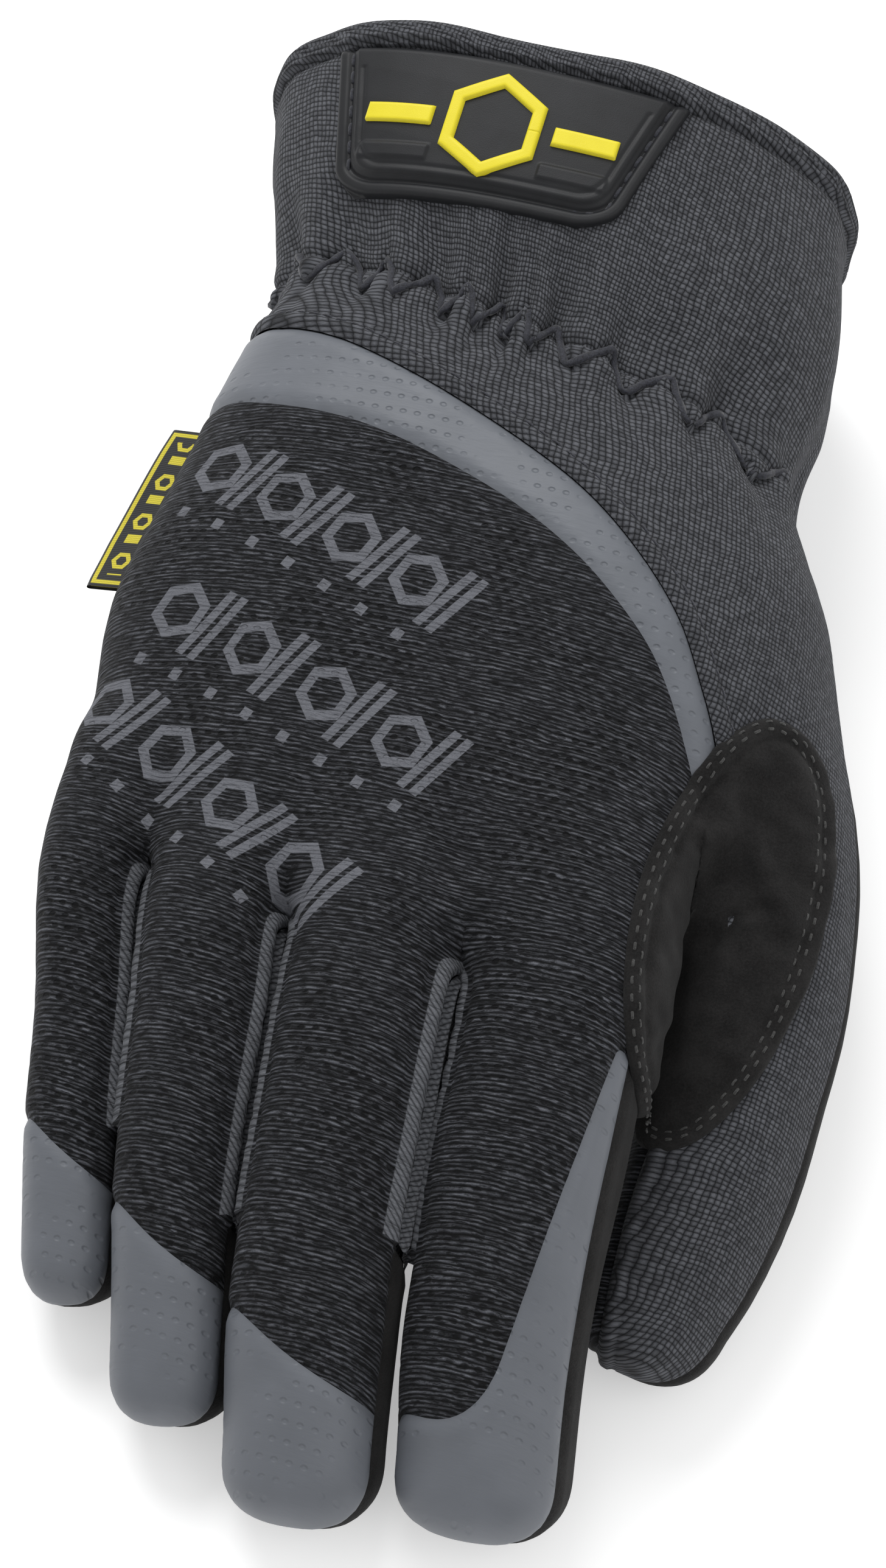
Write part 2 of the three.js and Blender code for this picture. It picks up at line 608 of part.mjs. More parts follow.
// A wall under a patch of surface: its outer side lies at "lift", its inner side "thick" below that.
function wall(mesh, normals, faces, lift, thick, gap) {
  const edges = new Map();
  faces.forEach((face, f) => {
    for (let e = 0; e < 3; e++) edges.set(face[e] + "_" + face[(e + 1) % 3], f);
  });
  // Corners of triangles that meet round a vertex share one fan there.
  const fanOf = faces.map(() => [0, 0, 0]);
  const fans = [];
  const done = faces.map(() => [false, false, false]);
  faces.forEach((face, f) => {
    for (let c = 0; c < 3; c++) {
      if (done[f][c]) continue;
      const v = face[c];
      const fan = { v, corners: [] };
      const stack = [f];
      while (stack.length) {
        const g = stack.pop();
        const at = faces[g].indexOf(v);
        if (done[g][at]) continue;
        done[g][at] = true;
        fanOf[g][at] = fans.length;
        fan.corners.push(g);
        const [next, last] = [faces[g][(at + 1) % 3], faces[g][(at + 2) % 3]];
        for (const key of [next + "_" + v, v + "_" + last]) if (edges.has(key)) stack.push(edges.get(key));
      }
      fans.push(fan);
    }
  });
  const inset = fans.map(() => []);
  const rim = [];
  faces.forEach((face, f) => {
    for (let e = 0; e < 3; e++) {
      const [i, j] = [face[e], face[(e + 1) % 3]];
      if (edges.has(j + "_" + i)) continue;
      const [a, b] = [mesh.points[i].p, mesh.points[j].p];
      const n = normals[i].clone().add(normals[j]).normalize();
      const inward = new THREE.Vector3().crossVectors(n, b.clone().sub(a)).normalize();
      inset[fanOf[f][e]].push(inward);
      inset[fanOf[f][(e + 1) % 3]].push(inward);
      rim.push([fanOf[f][e], fanOf[f][(e + 1) % 3]]);
    }
  });
  const outer = [];
  const inner = [];
  fans.forEach(({ v }, i) => {
    const p = mesh.points[v].p.clone();
    if (inset[i].length) {
      const dir = inset[i].reduce((sum, d) => sum.add(d), new THREE.Vector3()).normalize();
      const share = Math.max(0.6, dir.dot(inset[i][0]));
      p.addScaledVector(dir, gap / 2 / share);
    }
    outer.push(p.clone().addScaledVector(normals[v], lift));
    inner.push(p.clone().addScaledVector(normals[v], lift - thick));
    outer[i].z = Math.max(0, outer[i].z);
  });
  const n = fans.length;
  const position = [...outer, ...inner].flatMap((p) => [p.x, p.y, p.z]);
  const triangles = [];
  fanOf.forEach(([a, b, c]) => triangles.push(a, b, c, n + a, n + c, n + b));
  for (const [a, b] of rim) triangles.push(b, a, n + a, b, n + a, n + b);
  return new THREE.BufferGeometry()
    .setAttribute("position", new THREE.Float32BufferAttribute(position, 3))
    .setIndex(triangles);
}

let labels = evenOut(glove, tidyLabels(glove.faces, glove.faces.map(labelOf)));
labels = tidyLabels(glove.faces, labels);
const normals = surfaceNormals(glove);
const group = new THREE.Group();
const cloth = (name, colour, geometry, roughness = 0.9) => {
  const mesh = new THREE.Mesh(geometry, new THREE.MeshStandardMaterial({ color: colour, roughness, metalness: 0 }));
  mesh.name = name;
  group.add(mesh);
};
const kinds = {
  cuff_hem: COLOURS.knit, cuff: COLOURS.knit, knit_back: COLOURS.knit, back_panel: COLOURS.mesh,
  knuckle_band: COLOURS.print, tip_little: COLOURS.print, tip_ring: COLOURS.print, tip_middle: COLOURS.print,
  tip_index: COLOURS.print, palm_panel: COLOURS.suede, gusset_little_ring: COLOURS.knit,
  gusset_ring_middle: COLOURS.knit, gusset_middle_index: COLOURS.knit,
};
for (const [name, colour] of Object.entries(kinds)) {
  const faces = glove.faces.filter((_, f) => labels[f] === name);
  if (!faces.length) continue;
  const lift = name === "cuff_hem" ? HEM_LIFT : 0;
  const thick = name.startsWith("gusset") ? GUSSET_CLOTH : CLOTH + 2 * lift;
  cloth(name, colour, wall(glove, normals, faces, lift, thick, SEAM_GAP));
}

// The oval suede patch lies on the pieces that meet at the crotch of the thumb.
const patchPoints = glove.points.map((point, i) => ({ p: point.p, normal: normals[i] }));
const patchMesh = { points: patchPoints, faces: glove.faces, marks: {}, regions: {} };
const lean = rad(SADDLE.lean);
markRegion(patchMesh, "patch", (p) => {
  const [dx, dy] = [p.x - SADDLE.x * X, p.y - SADDLE.y * Y];
  const across = (dx * Math.cos(lean) + dy * Math.sin(lean)) / (SADDLE.across * X);
  const along = (dy * Math.cos(lean) - dx * Math.sin(lean)) / (SADDLE.along * Y);
  const deep = Math.max(0, (SADDLE.z - SADDLE.depth) * Z - p.z) / 6;
  return (1 - Math.hypot(across, along) - deep) * SADDLE.across;
}, false);
const patchFaces = patchMesh.faces.filter((face) => isInside(patchMesh, "patch", face));
const patchNormals = patchMesh.points.map((point) => point.normal);
cloth("thumb_saddle", COLOURS.suede, wall(patchMesh, patchNormals, patchFaces, PATCH_LIFT + PATCH_CLOTH, PATCH_CLOTH, 0));

// Point over the top of the cuff at a place in plan, lifted square to the surface.
function drape(x, y, lift) {
  let [low, high] = [20 * Z, 90 * Z];
  const point = new THREE.Vector3(x, y, 0);
  for (let turn = 0; turn < 30; turn++) {
    point.z = (low + high) / 2;
    const place = locate(hand, point);
    if (place.d + gathers(place) < 0) low = point.z;
    else high = point.z;
  }
  const slope = (dx, dy) => {
    const side = drapeHeight(x + dx, y + dy) - drapeHeight(x - dx, y - dy);
    return side / (2 * Math.hypot(dx, dy));
  };
  const normal = new THREE.Vector3(-slope(1, 0), -slope(0, 1), 1).normalize();
  return point.addScaledVector(normal, lift);
}
function drapeHeight(x, y) {
  let [low, high] = [20 * Z, 90 * Z];
  const point = new THREE.Vector3(x, y, 0);
  for (let turn = 0; turn < 24; turn++) {
    point.z = (low + high) / 2;
    if (locate(hand, point).d < 0) low = point.z;
    else high = point.z;
  }
  return low;
}

// A plate bent over the cuff: "shape" maps a square grid of shares to the plane of the badge.
function plate(shape, across, along, lift, thick, closed = false) {
  const rows = [];
  for (const level of [lift + thick, lift])
    for (let j = 0; j <= along; j++)
      for (let i = 0; i <= across; i++) {
        const [u, v] = shape(closed && i === across ? 0 : i / across, j / along);
        const [x, y] = [BADGE.x + u * BADGE.ux - v * BADGE.uy, BADGE.y + u * BADGE.uy + v * BADGE.ux];
        const over = Math.max(0, mouthPlane({ x, y }) + HEM_WIDTH + HEM_LIFT + PATCH_LIFT);
        rows.push(drape(x, y - over, level));
      }
  const at = (level, i, j) => (level * (along + 1) + j) * (across + 1) + (closed && i === across ? 0 : i);
  const triangles = [];
  for (let j = 0; j < along; j++)
    for (let i = 0; i < across; i++) {
      const [a, b, c, d] = [at(0, i, j), at(0, i + 1, j), at(0, i + 1, j + 1), at(0, i, j + 1)];
      const [e, f, g, h] = [at(1, i, j), at(1, i + 1, j), at(1, i + 1, j + 1), at(1, i, j + 1)];
      triangles.push(a, b, c, a, c, d, e, g, f, e, h, g);
    }
  const rim = [];
  for (let i = 0; i < across; i++) rim.push([i, 0, i + 1, 0], [i + 1, along, i, along]);
  if (!closed) for (let j = 0; j < along; j++) rim.push([across, j, across, j + 1], [0, j + 1, 0, j]);
  for (const [i, j, k, l] of rim) {
    const [a, b, c, d] = [at(0, i, j), at(0, k, l), at(1, k, l), at(1, i, j)];
    triangles.push(a, c, b, a, d, c);
  }
  return new THREE.BufferGeometry()
    .setAttribute("position", new THREE.Float32BufferAttribute(rows.flatMap((p) => [p.x, p.y, p.z]), 3))
    .setIndex(triangles);
}
const badgeTurn = rad(-7.5);
const BADGE = { x: -8.5 * X, y: 101.5 * Y, ux: Math.cos(badgeTurn), uy: Math.sin(badgeTurn) };
// Trapezium with two rounded lower corners.
function badgeShape(s, t) {
  const round = 0.2;
  const low = Math.max(0, round - t) / round;
  const pinch = 1 - 0.17 * low * low;
  const half = (BADGE_WIDTH / 2) * (0.78 + 0.22 * t) * pinch;
  return [(2 * s - 1) * half, (t - 0.5) * BADGE_HEIGHT];
}
cloth("rubber_badge", COLOURS.rubber, plate(badgeShape, 12, 6, PATCH_LIFT, BADGE_THICKNESS), 0.5);
const emblemLift = PATCH_LIFT * 2 + BADGE_THICKNESS;
const hexagon = (s, t) => {
  const a = s * 2 * Math.PI;
  const r = (5.6 + 2.4 * t) / Math.cos(((a + Math.PI / 6) % (Math.PI / 3)) - Math.PI / 6);
  return [r * Math.cos(a), 1 - r * Math.sin(a)];
};
cloth("badge_ring", COLOURS.emblem, plate(hexagon, 18, 1, emblemLift, 0.7, true), 0.5);
for (const side of [-1, 1])
  cloth(side < 0 ? "badge_bar_left" : "badge_bar_right", COLOURS.emblem,
    plate((s, t) => [side * 15.5 + (s - 0.5) * 11, 1 + (t - 0.5) * 3.4], 3, 1, emblemLift, 0.7), 0.5);

// The folded label stands out of the side seam by the little finger.
function sidePoint(y, z) {
  let [outside, inside] = [-90 * X, -20 * X];
  const point = new THREE.Vector3(0, y, z);
  for (let turn = 0; turn < 30; turn++) {
    point.x = (outside + inside) / 2;
    if (locate(hand, point).d < 0) inside = point.x;
    else outside = point.x;
  }
  return point;
}
const labelRows = [];
for (const t of [0, 1 / 3, 2 / 3, 1]) {
  const root = sidePoint(44 * Y + (0.5 - t) * LABEL_LENGTH, (28 - 3 * t) * Z);
  for (const [reach, rise] of [[0.4, 0], [LABEL_REACH, 0], [LABEL_REACH, 1], [0.4, 1]])
    labelRows.push(root.x - reach, root.y + reach * 0.1, root.z - reach * 0.25 + rise * LABEL_THICKNESS);
}
const labelSides = [];
for (let row = 0; row < 3; row++)
  for (let i = 0; i < 4; i++) {
    const [a, b] = [row * 4 + i, row * 4 + ((i + 1) % 4)];
    labelSides.push(a, b + 4, b, a, a + 4, b + 4);
  }
labelSides.push(0, 1, 2, 0, 2, 3, 12, 14, 13, 12, 15, 14);
const label = new THREE.BufferGeometry()
  .setAttribute("position", new THREE.Float32BufferAttribute(labelRows, 3))
  .setIndex(labelSides);
cloth("side_label", COLOURS.label, label);

const box = new THREE.Box3().setFromObject(group);
group.position.set(-(box.min.x + box.max.x) / 2, -(box.min.y + box.max.y) / 2, -box.min.z);
export default group;
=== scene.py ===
"""Mechanic glove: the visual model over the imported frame. Lengths are in millimetres until a mesh is made."""

import math

import bpy
import numpy as np
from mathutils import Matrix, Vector
from mathutils.bvhtree import BVHTree
from mathutils.kdtree import KDTree


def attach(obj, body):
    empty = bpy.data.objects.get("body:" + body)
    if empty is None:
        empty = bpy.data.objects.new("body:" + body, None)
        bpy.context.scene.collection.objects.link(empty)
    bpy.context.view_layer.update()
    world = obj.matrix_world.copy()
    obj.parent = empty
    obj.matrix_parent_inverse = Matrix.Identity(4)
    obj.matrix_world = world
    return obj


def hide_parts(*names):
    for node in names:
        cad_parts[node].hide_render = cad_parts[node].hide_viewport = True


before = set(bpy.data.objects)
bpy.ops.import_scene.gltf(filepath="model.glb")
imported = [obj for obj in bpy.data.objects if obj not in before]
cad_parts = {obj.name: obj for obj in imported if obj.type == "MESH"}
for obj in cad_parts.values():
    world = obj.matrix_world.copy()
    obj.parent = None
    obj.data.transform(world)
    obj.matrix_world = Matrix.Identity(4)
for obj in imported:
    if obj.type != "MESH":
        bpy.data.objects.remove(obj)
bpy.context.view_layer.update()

# Sizes and tables
SHIFT = np.array([-2.077, -2.446, 0.0])
CLOTH = 1.6
CELL = 1.3
COARSE = 4
HEM_WIDTH = 5.0
GATHER_DEPTH = 1.3
GATHER_COUNT = 15
GATHER_AT = 0.372
GATHER_WIDTH = 0.06
FINGER_BLEND = 6.0
THUMB_BLEND = 14.0
GUSSET_LOW = -0.5
GAP_TOP = -12
FINGERS_START = -25
TIPS_START = -45
OUTSIDE = -5.0
ARC_STITCH_IN = 2.9
WRIST_ROW = 3
PUCKERS = 26
PUCKER = {"height": 0.85, "above": 11.0, "below": 7.5}
ZIGZAG = {"half": 3.4, "shift": 0.8, "lift": 0.35}
BADGE = {"x": -8.5, "y": 101.5, "turn": -7.5, "width": 60.0, "height": 25.0, "foot": 0.78, "groove": 2.5}
LIMB_NAMES = ["little", "ring", "middle", "index", "thumb"]

# Sections of the cuff and the hand: x, y, z, left, right, up, down, turn, dip, roll
HAND = [
    [5, 140, 39, 53, 52.5, 32, 40.5, -10, 0, 1],
    [2, 117, 37, 52, 50.8, 32, 38.5, -12, 0, 2],
    [1, 94, 36, 50.3, 53.5, 29, 33, -16, 0, 2],
    [1, 71, 34, 46.5, 50, 26, 27, -19, 0, 3],
    [0, 56, 33, 48, 53.5, 27, 33, -15, 0, 4],
    [0, 40, 32, 53.5, 56, 28, 34, -10, 0, 6],
    [-1, 18, 32, 59, 53, 27, 34, -6, 0, 9],
    [-4, -8, 33, 56, 46, 22, 22, -6, 2, 13],
    [-7, -20, 33, 51, 43, 18, 15, -11, 6, 15],
]
# Centre line and half-sizes of each finger: x, y, z, half, rise
FINGERS = {
    "little": {"roll": 15, "tip": 10, "splay": -20, "open": (-18, -48), "rows": [
        [-50, -5, 27, 10, 12], [-52, -25, 27, 8.6, 12], [-49.2, -46, 23, 8, 11],
        [-47.6, -64, 17, 8.2, 10.5], [-45.2, -80, 10, 8, 11]]},
    "ring": {"roll": 15, "tip": 10, "splay": -7, "open": (-25, -58), "rows": [
        [-28, -8, 33, 11.5, 13], [-30.3, -30, 33.5, 11, 13.5], [-29.7, -48, 31, 10.8, 12.5],
        [-29.2, -66, 25, 10.3, 12], [-28.2, -82, 17.5, 10, 11], [-26.2, -97, 10, 9.6, 11.2]]},
    "middle": {"roll": 15, "tip": 11, "splay": 6, "open": (-30, -58), "rows": [
        [-5, -8, 38, 13, 14], [-4, -30, 39.5, 13, 14.5], [-4.2, -50, 37, 13, 13.5],
        [-5, -70, 31, 13, 13], [-5.3, -90, 21, 13, 12.5], [-3.6, -108.5, 11, 12.4, 12.4]]},
    "index": {"roll": 14, "tip": 11, "splay": 19, "open": (-30, -58), "rows": [
        [24, -4, 42, 15, 14], [25.8, -28, 43, 14.4, 14.5], [25.4, -48, 40, 14.4, 14],
        [23.7, -68, 33, 14.2, 13.5], [23.2, -87, 23, 14, 12.5], [24, -106.5, 11.8, 13.4, 13]]},
    "thumb": {"roll": 18, "tip": 12, "splay": 26, "open": (-16, -56), "rows": [
        [24, 42, 28, 25, 22], [39, 20, 27, 20.6, 21], [49.7, 0, 25, 17.6, 19], [54.6, -20, 22, 14.7, 17],
        [54.3, -40, 19, 13.3, 15.5], [51.4, -60, 14.5, 13, 14.5], [46.6, -75.5, 11.2, 11.4, 12.6]]},
}
BACK_EDGE = {"hand": 0.0, "thumb": -0.1, "little": 0.3, "ring": 0.3, "middle": 0.3, "index": 0.3}
ARC = [[-75, 88], [-43.5, 72], [-27, 65], [-10, 56.2], [4, 48.5], [16.3, 40], [26, 31], [34, 20.9],
       [39, 11.5], [43.3, 2], [47, -12], [46.5, -30], [43, -50], [39, -75], [38, -110]]
BAND = [[-75, 60], [-52, 58], [-37, 53.6], [-21, 49], [-5.2, 42.1], [6, 36], [16.8, 28.3], [24.8, 20.8],
        [31.2, 13.6], [36.3, 5.2], [41, -5], [48, -24]]
# Start of each smooth fingertip: y at the centre line, slope across, hollow
TIPS = {"little": (-72, -0.55, 0.03), "ring": (-86, -0.5, 0.03), "middle": (-101, -0.45, 0.02),
        "index": (-105, 0.1, 0.02)}
TIP_STRIP = {"x": 33.5, "y": -60, "slope": 0.24, "top": -50, "round": 9}
GUSSET_END = {"little_ring": -66, "ring_middle": -79, "middle_index": -81}
SADDLE = {"x": 49, "y": -23, "z": 40, "across": 14, "along": 34, "depth": 15, "lean": -9}


# The form of the glove
def smooth(values, k=4):
    v = np.asarray(values, float)
    i = np.repeat(np.arange(len(v) - 1), k)
    t = np.tile(np.arange(k) / k, len(v) - 1)
    a, b, c, d = (v[np.clip(i + m, 0, len(v) - 1)] for m in (-1, 0, 1, 2))
    out = b + 0.5 * t * (c - a + t * (2 * a - 5 * b + 4 * c - d + t * (3 * (b - c) + d - a)))
    return np.append(out, v[-1])


def unit(v):
    return v / np.maximum(np.linalg.norm(v, axis=-1, keepdims=True), 1e-12)


def bell(x, place, width):
    return np.exp(-((x - place) / width) ** 2)


def turned(x, y, degrees):
    """Coordinates along and across a direction in plan that is turned by some degrees from x."""
    t = math.radians(degrees)
    return x * math.cos(t) + y * math.sin(t), y * math.cos(t) - x * math.sin(t)


def edges_of(f):
    return np.concatenate([f[:, [0, 1]], f[:, [1, 2]], f[:, [2, 0]]])


class Limb:
    """A list of cross-sections with a frame each: forward, side (towards the thumb) and up."""

    def __init__(self, name, rows, tip, roll=None, splay=0.0, opening=(0, -1)):
        col = np.array([smooth(c) for c in zip(*rows)]).T
        self.name, self.tip, self.splay, self.opening = name, tip, splay, opening
        self.c = col[:, :3]
        n = len(col)
        if roll is None:
            turn, dip, r = (np.radians(col[:, k]) for k in (7, 8, 9))
            self.forward = np.stack(
                [np.sin(turn) * np.cos(dip), -np.cos(turn) * np.cos(dip), -np.sin(dip)], 1)
            self.left, self.right, self.top, self.bottom = col[:, 3], col[:, 4], col[:, 5], col[:, 6]
        else:
            i = np.arange(n)
            self.forward = unit(self.c[np.minimum(i + 1, n - 1)] - self.c[np.maximum(i - 1, 0)])
            r = np.full(n, math.radians(roll))
            self.left = self.right = col[:, 3]
            self.top = self.bottom = col[:, 4]
        side = unit(np.stack([-self.forward[:, 1], self.forward[:, 0], np.zeros(n)], 1))
        up = np.cross(self.forward, side)
        self.side = side * np.cos(r)[:, None] + up * np.sin(r)[:, None]
        self.up = up * np.cos(r)[:, None] - side * np.sin(r)[:, None]
        self.edge = BACK_EDGE[name]

    def locate(self, p):
        """Share along, offsets across and up, and distance to the surface, for each point."""
        n = len(self.c)
        ahead = (p - self.c[0]) @ self.forward[0]
        behind = np.maximum(0, -ahead)
        s = np.zeros(len(p))
        for i in range(n - 1):
            nxt = (p - self.c[i + 1]) @ self.forward[i + 1]
            gap = ahead - nxt
            part = np.where(nxt < 0, ahead / np.where(np.abs(gap) < 1e-9, 1.0, gap), 1.0)
            s += np.where(ahead > 0, part, 0.0)
            ahead = nxt
        i = np.clip(s.astype(int), 0, n - 2)
        t = s - i

        def mix(a):
            w = t[:, None] if a.ndim == 2 else t
            return a[i] + (a[i + 1] - a[i]) * w

        off = p - mix(self.c)
        u = (off * unit(mix(self.side))).sum(1)
        v = (off * unit(mix(self.up))).sum(1)
        w = np.maximum(0, ahead) + behind
        half = np.where(u < 0, mix(self.left), mix(self.right))
        rise = np.where(v > 0, mix(self.top), mix(self.bottom))
        a, b, c = np.abs(u) / half, np.abs(v) / rise, w / self.tip
        # Superellipse of power 2.5, written with square roots because they are quick
        ra, rb, rc = a * np.sqrt(a), b * np.sqrt(b), c * np.sqrt(c)
        q = np.maximum((ra * a + rb * b + rc * c) ** 0.4, 1e-9)
        slope = np.sqrt((ra / half) ** 2 + (rb / rise) ** 2 + (rc / self.tip) ** 2)
        inner = -0.7 * np.minimum(half, rise)
        d = np.where(q > 0.3, (q - 1) * q * np.sqrt(q) / np.maximum(slope, 1e-9), inner)
        return {"d": d, "u": u, "v": v, "s": s / (n - 1), "e": v / rise, "rise": rise, "half": half}


hand = Limb("hand", HAND, 13)
fingers = [Limb(name, f["rows"], f["tip"], f["roll"], f["splay"], f["open"]) for name, f in FINGERS.items()]


def smoothstep(x, low, high):
    t = np.clip((x - low) / (high - low), 0, 1)
    return t * t * (3 - 2 * t)


def spread(limb, y):
    start, end = limb.opening
    return limb.splay * smoothstep(start - y, 0, start - end)


def gathers(place):
    drawn_in = GATHER_DEPTH * bell(place["s"], GATHER_AT, GATHER_WIDTH)
    return drawn_in * (1 + np.cos(np.arctan2(place["v"], place["u"]) * GATHER_COUNT))


def blend_min(a, b, k):
    h = np.maximum(k - np.abs(a - b), 0) / k
    return np.minimum(a, b) - h * h * k / 4


def outer_distance(q):
    """Distance to the glove's outside for each point, and its nearest finger."""
    place = hand.locate(q)
    base = place["d"] + gathers(place)
    best = np.full(len(q), np.inf)
    least = np.full(len(q), np.inf)
    nearest = np.zeros(len(q), int)
    for n, limb in enumerate(fingers):
        moved = q.copy()
        moved[:, 0] -= spread(limb, q[:, 1])
        d = limb.locate(moved)["d"]
        best = np.minimum(best, blend_min(base, d, THUMB_BLEND if limb.name == "thumb" else FINGER_BLEND))
        nearest = np.where(d < least, n, nearest)
        least = np.minimum(least, d)
    return np.maximum(best, -q[:, 2]), nearest


def in_parts(fn, p, size=60000):
    return [fn(p[i:i + size]) for i in range(0, len(p), size)]


def grow_surface(cell):
    """Surface nets over a grid that is fine only near the surface: points, finger of each, triangles."""
    low = np.array([-86.0, -128.0, -6.0])
    big = cell * COARSE
    cells = np.ceil(np.array([192.0, 268.0, 80.0]) / big).astype(int)
    axes = [low[a] + big * np.arange(cells[a] + 1) for a in range(3)]
    nodes = np.stack(np.meshgrid(*axes, indexing="ij"), -1).reshape(-1, 3)
    rough = np.concatenate([r[0] for r in in_parts(outer_distance, nodes)]).reshape(cells + 1)
    near = np.zeros(cells, bool)
    for a in range(2):
        for b in range(2):
            for c in range(2):
                part = rough[a:a + cells[0], b:b + cells[1], c:c + cells[2]]
                near |= np.abs(part) < big * 1.5
    fine = cells * COARSE
    index = np.arange(fine.max() + 1)
    at = [np.minimum(index[:fine[a] + 1] // COARSE, cells[a] - 1) for a in range(3)]
    wanted = near[np.ix_(*at)].copy()
    for a in range(3):
        before = [np.maximum(x - 1, 0) if k == a else x for k, x in enumerate(at)]
        wanted |= near[np.ix_(*before)]
    rough_at = [np.minimum((index[:fine[a] + 1] + COARSE // 2) // COARSE, cells[a]) for a in range(3)]
    field = rough[np.ix_(*rough_at)].copy()
    where = np.argwhere(wanted)
    points = low + where * cell
    field[tuple(where.T)] = np.concatenate([r[0] for r in in_parts(outer_distance, points)])
    field[field == 0] = 1e-6
    inside = field < 0
    total = np.zeros(tuple(fine) + (3,))
    count = np.zeros(tuple(fine))
    quads = []
    for a in range(3):
        shape = fine + 1
        shape[a] -= 1
        lo = [slice(0, shape[0]), slice(0, shape[1]), slice(0, shape[2])]
        hi = list(lo)
        hi[a] = slice(1, shape[a] + 1)
        crossing = np.argwhere(inside[tuple(lo)] != inside[tuple(hi)])
        b, c = (a + 1) % 3, (a + 2) % 3
        inner = [(crossing[:, x] > 0) & (crossing[:, x] < fine[x]) for x in (b, c)]
        crossing = crossing[inner[0] & inner[1]]
        other = crossing.copy()
        other[:, a] += 1
        fa, fb = field[tuple(crossing.T)], field[tuple(other.T)]
        at_edge = low + cell * (crossing + (fa / (fa - fb))[:, None] * np.eye(3)[a])
        ring = []
        for db, dc in ((0, 0), (-1, 0), (-1, -1), (0, -1)):
            box = crossing.copy()
            box[:, b] += db
            box[:, c] += dc
            ring.append(box)
            for axis in range(3):
                np.add.at(total[..., axis], tuple(box.T), at_edge[:, axis])
            np.add.at(count, tuple(box.T), 1)
        quads.append((np.stack(ring, 1), fa < 0))
    used = np.argwhere(count > 0)
    ids = np.full(tuple(fine), -1)
    ids[tuple(used.T)] = np.arange(len(used))
    q = total[tuple(used.T)] / count[tuple(used.T)][:, None]
    for _ in range(3):
        d, _n = outer_distance(q)
        g = np.stack([(outer_distance(q + 0.3 * np.eye(3)[a])[0] - d) / 0.3 for a in range(3)], 1)
        move = g * (-d / np.maximum((g * g).sum(1), 0.2))[:, None]
        q = q + move * np.minimum(1, 1.5 / np.maximum(np.linalg.norm(move, axis=1), 1e-9))[:, None]
    _, nearest = outer_distance(q)
    p = q.copy()
    for n, limb in enumerate(fingers):
        mine = nearest == n
        p[mine, 0] -= spread(limb, q[mine, 1])
    p[:, 2] = np.maximum(0, p[:, 2])
    faces = []
    for ring, is_in in quads:
        v = ids[ring[..., 0], ring[..., 1], ring[..., 2]]
        v = np.where(is_in[:, None], v, v[:, ::-1])
        across = [np.linalg.norm(p[v[:, k]] - p[v[:, k + 2]], axis=1) for k in (0, 1)]
        short = across[0] < across[1]
        a, b, c, d = v.T
        faces.append(np.stack([a, b, c], 1)[short])
        faces.append(np.stack([a, c, d], 1)[short])
        faces.append(np.stack([b, c, d], 1)[~short])
        faces.append(np.stack([b, d, a], 1)[~short])
    return p, nearest, np.concatenate(faces)


# Seams
def smooth_line(line, k=4):
    return smooth([r[0] for r in line], k), smooth([r[1] for r in line], k)


def line_distance(p, xs, ys):
    """Distance in plan from each point to a line through some places, and the side that it is on."""
    best, sign = np.full(len(p), np.inf), np.ones(len(p))
    for i in range(len(xs) - 1):
        dx, dy = xs[i + 1] - xs[i], ys[i + 1] - ys[i]
        t = np.clip(((p[:, 0] - xs[i]) * dx + (p[:, 1] - ys[i]) * dy) / (dx * dx + dy * dy), 0, 1)
        ex, ey = p[:, 0] - xs[i] - t * dx, p[:, 1] - ys[i] - t * dy
        d = np.hypot(ex, ey)
        closer = d < best
        best = np.where(closer, d, best)
        sign = np.where(closer, np.where(dx * ey - dy * ex > 0, 1, -1), sign)
    return best, sign


def plan_line(line):
    xs, ys = smooth_line(line)

    def value(p):
        best, sign = line_distance(p, xs, ys)
        return sign * best
    return value


def section_plane(x, y, turn):
    t = math.radians(turn)
    return lambda p: (p[:, 0] - x) * -math.sin(t) + (p[:, 1] - y) * math.cos(t)


def side_height(level):
    def value(p):
        total, weight = np.zeros(len(p)), np.zeros(len(p))
        for limb in [hand] + fingers:
            place = limb.locate(p)
            w = np.exp(-np.maximum(place["d"], -6) / 1.6) + 1e-30
            total += w * (place["e"] - level(limb)) * place["rise"]
            weight += w
        return total / weight
    return value


def centre_x(limb, y):
    return np.interp(-y, -limb.c[:, 1], limb.c[:, 0])


arc_line = plan_line(ARC)
band_line = plan_line(BAND)
mouth_plane = section_plane(2, 118.5, -8)
elastic_plane = section_plane(1, 71, -19)
back_height = side_height(lambda limb: limb.edge)
low_height = side_height(lambda limb: GUSSET_LOW)
INDEX, THUMB = 3, 4


def tip_value(p, finger):
    out = np.full(len(p), OUTSIDE)
    for n, name in enumerate(LIMB_NAMES[:4]):
        mine = (finger == n) & (p[:, 1] < TIPS_START)
        y0, slope, hollow = TIPS[name]
        u = p[mine, 0] - centre_x(fingers[n], p[mine, 1])
        end = y0 + slope * u + hollow * u * u - p[mine, 1]
        if n == INDEX:
            strip = p[mine, 0] - (TIP_STRIP["x"] + (TIP_STRIP["y"] - p[mine, 1]) * -TIP_STRIP["slope"])
            end = -blend_min(-end, -np.minimum(strip, TIP_STRIP["top"] - p[mine, 1]), TIP_STRIP["round"])
        out[mine] = end
    return out


def gap_of(p):
    """0 outside the gaps, 1 to 3 for the gap from the little finger's to the index finger's."""
    x = sum((p[:, 0] > centre_x(fingers[n], p[:, 1])).astype(int) for n in range(4))
    return np.where(x == 4, 0, x)


def gap_and_end(p):
    """The gap of each point, and where the side strip in that gap ends."""
    gap = gap_of(p)
    return gap, np.array([0.0, *GUSSET_END.values()])[gap]


def gusset_value(p, finger, low, back):
    gap, end = gap_and_end(p)
    value = np.minimum(np.minimum(low, -back), p[:, 1] - end)
    return np.where((gap == 0) | (finger == THUMB) | (p[:, 1] > GAP_TOP), OUTSIDE, value)


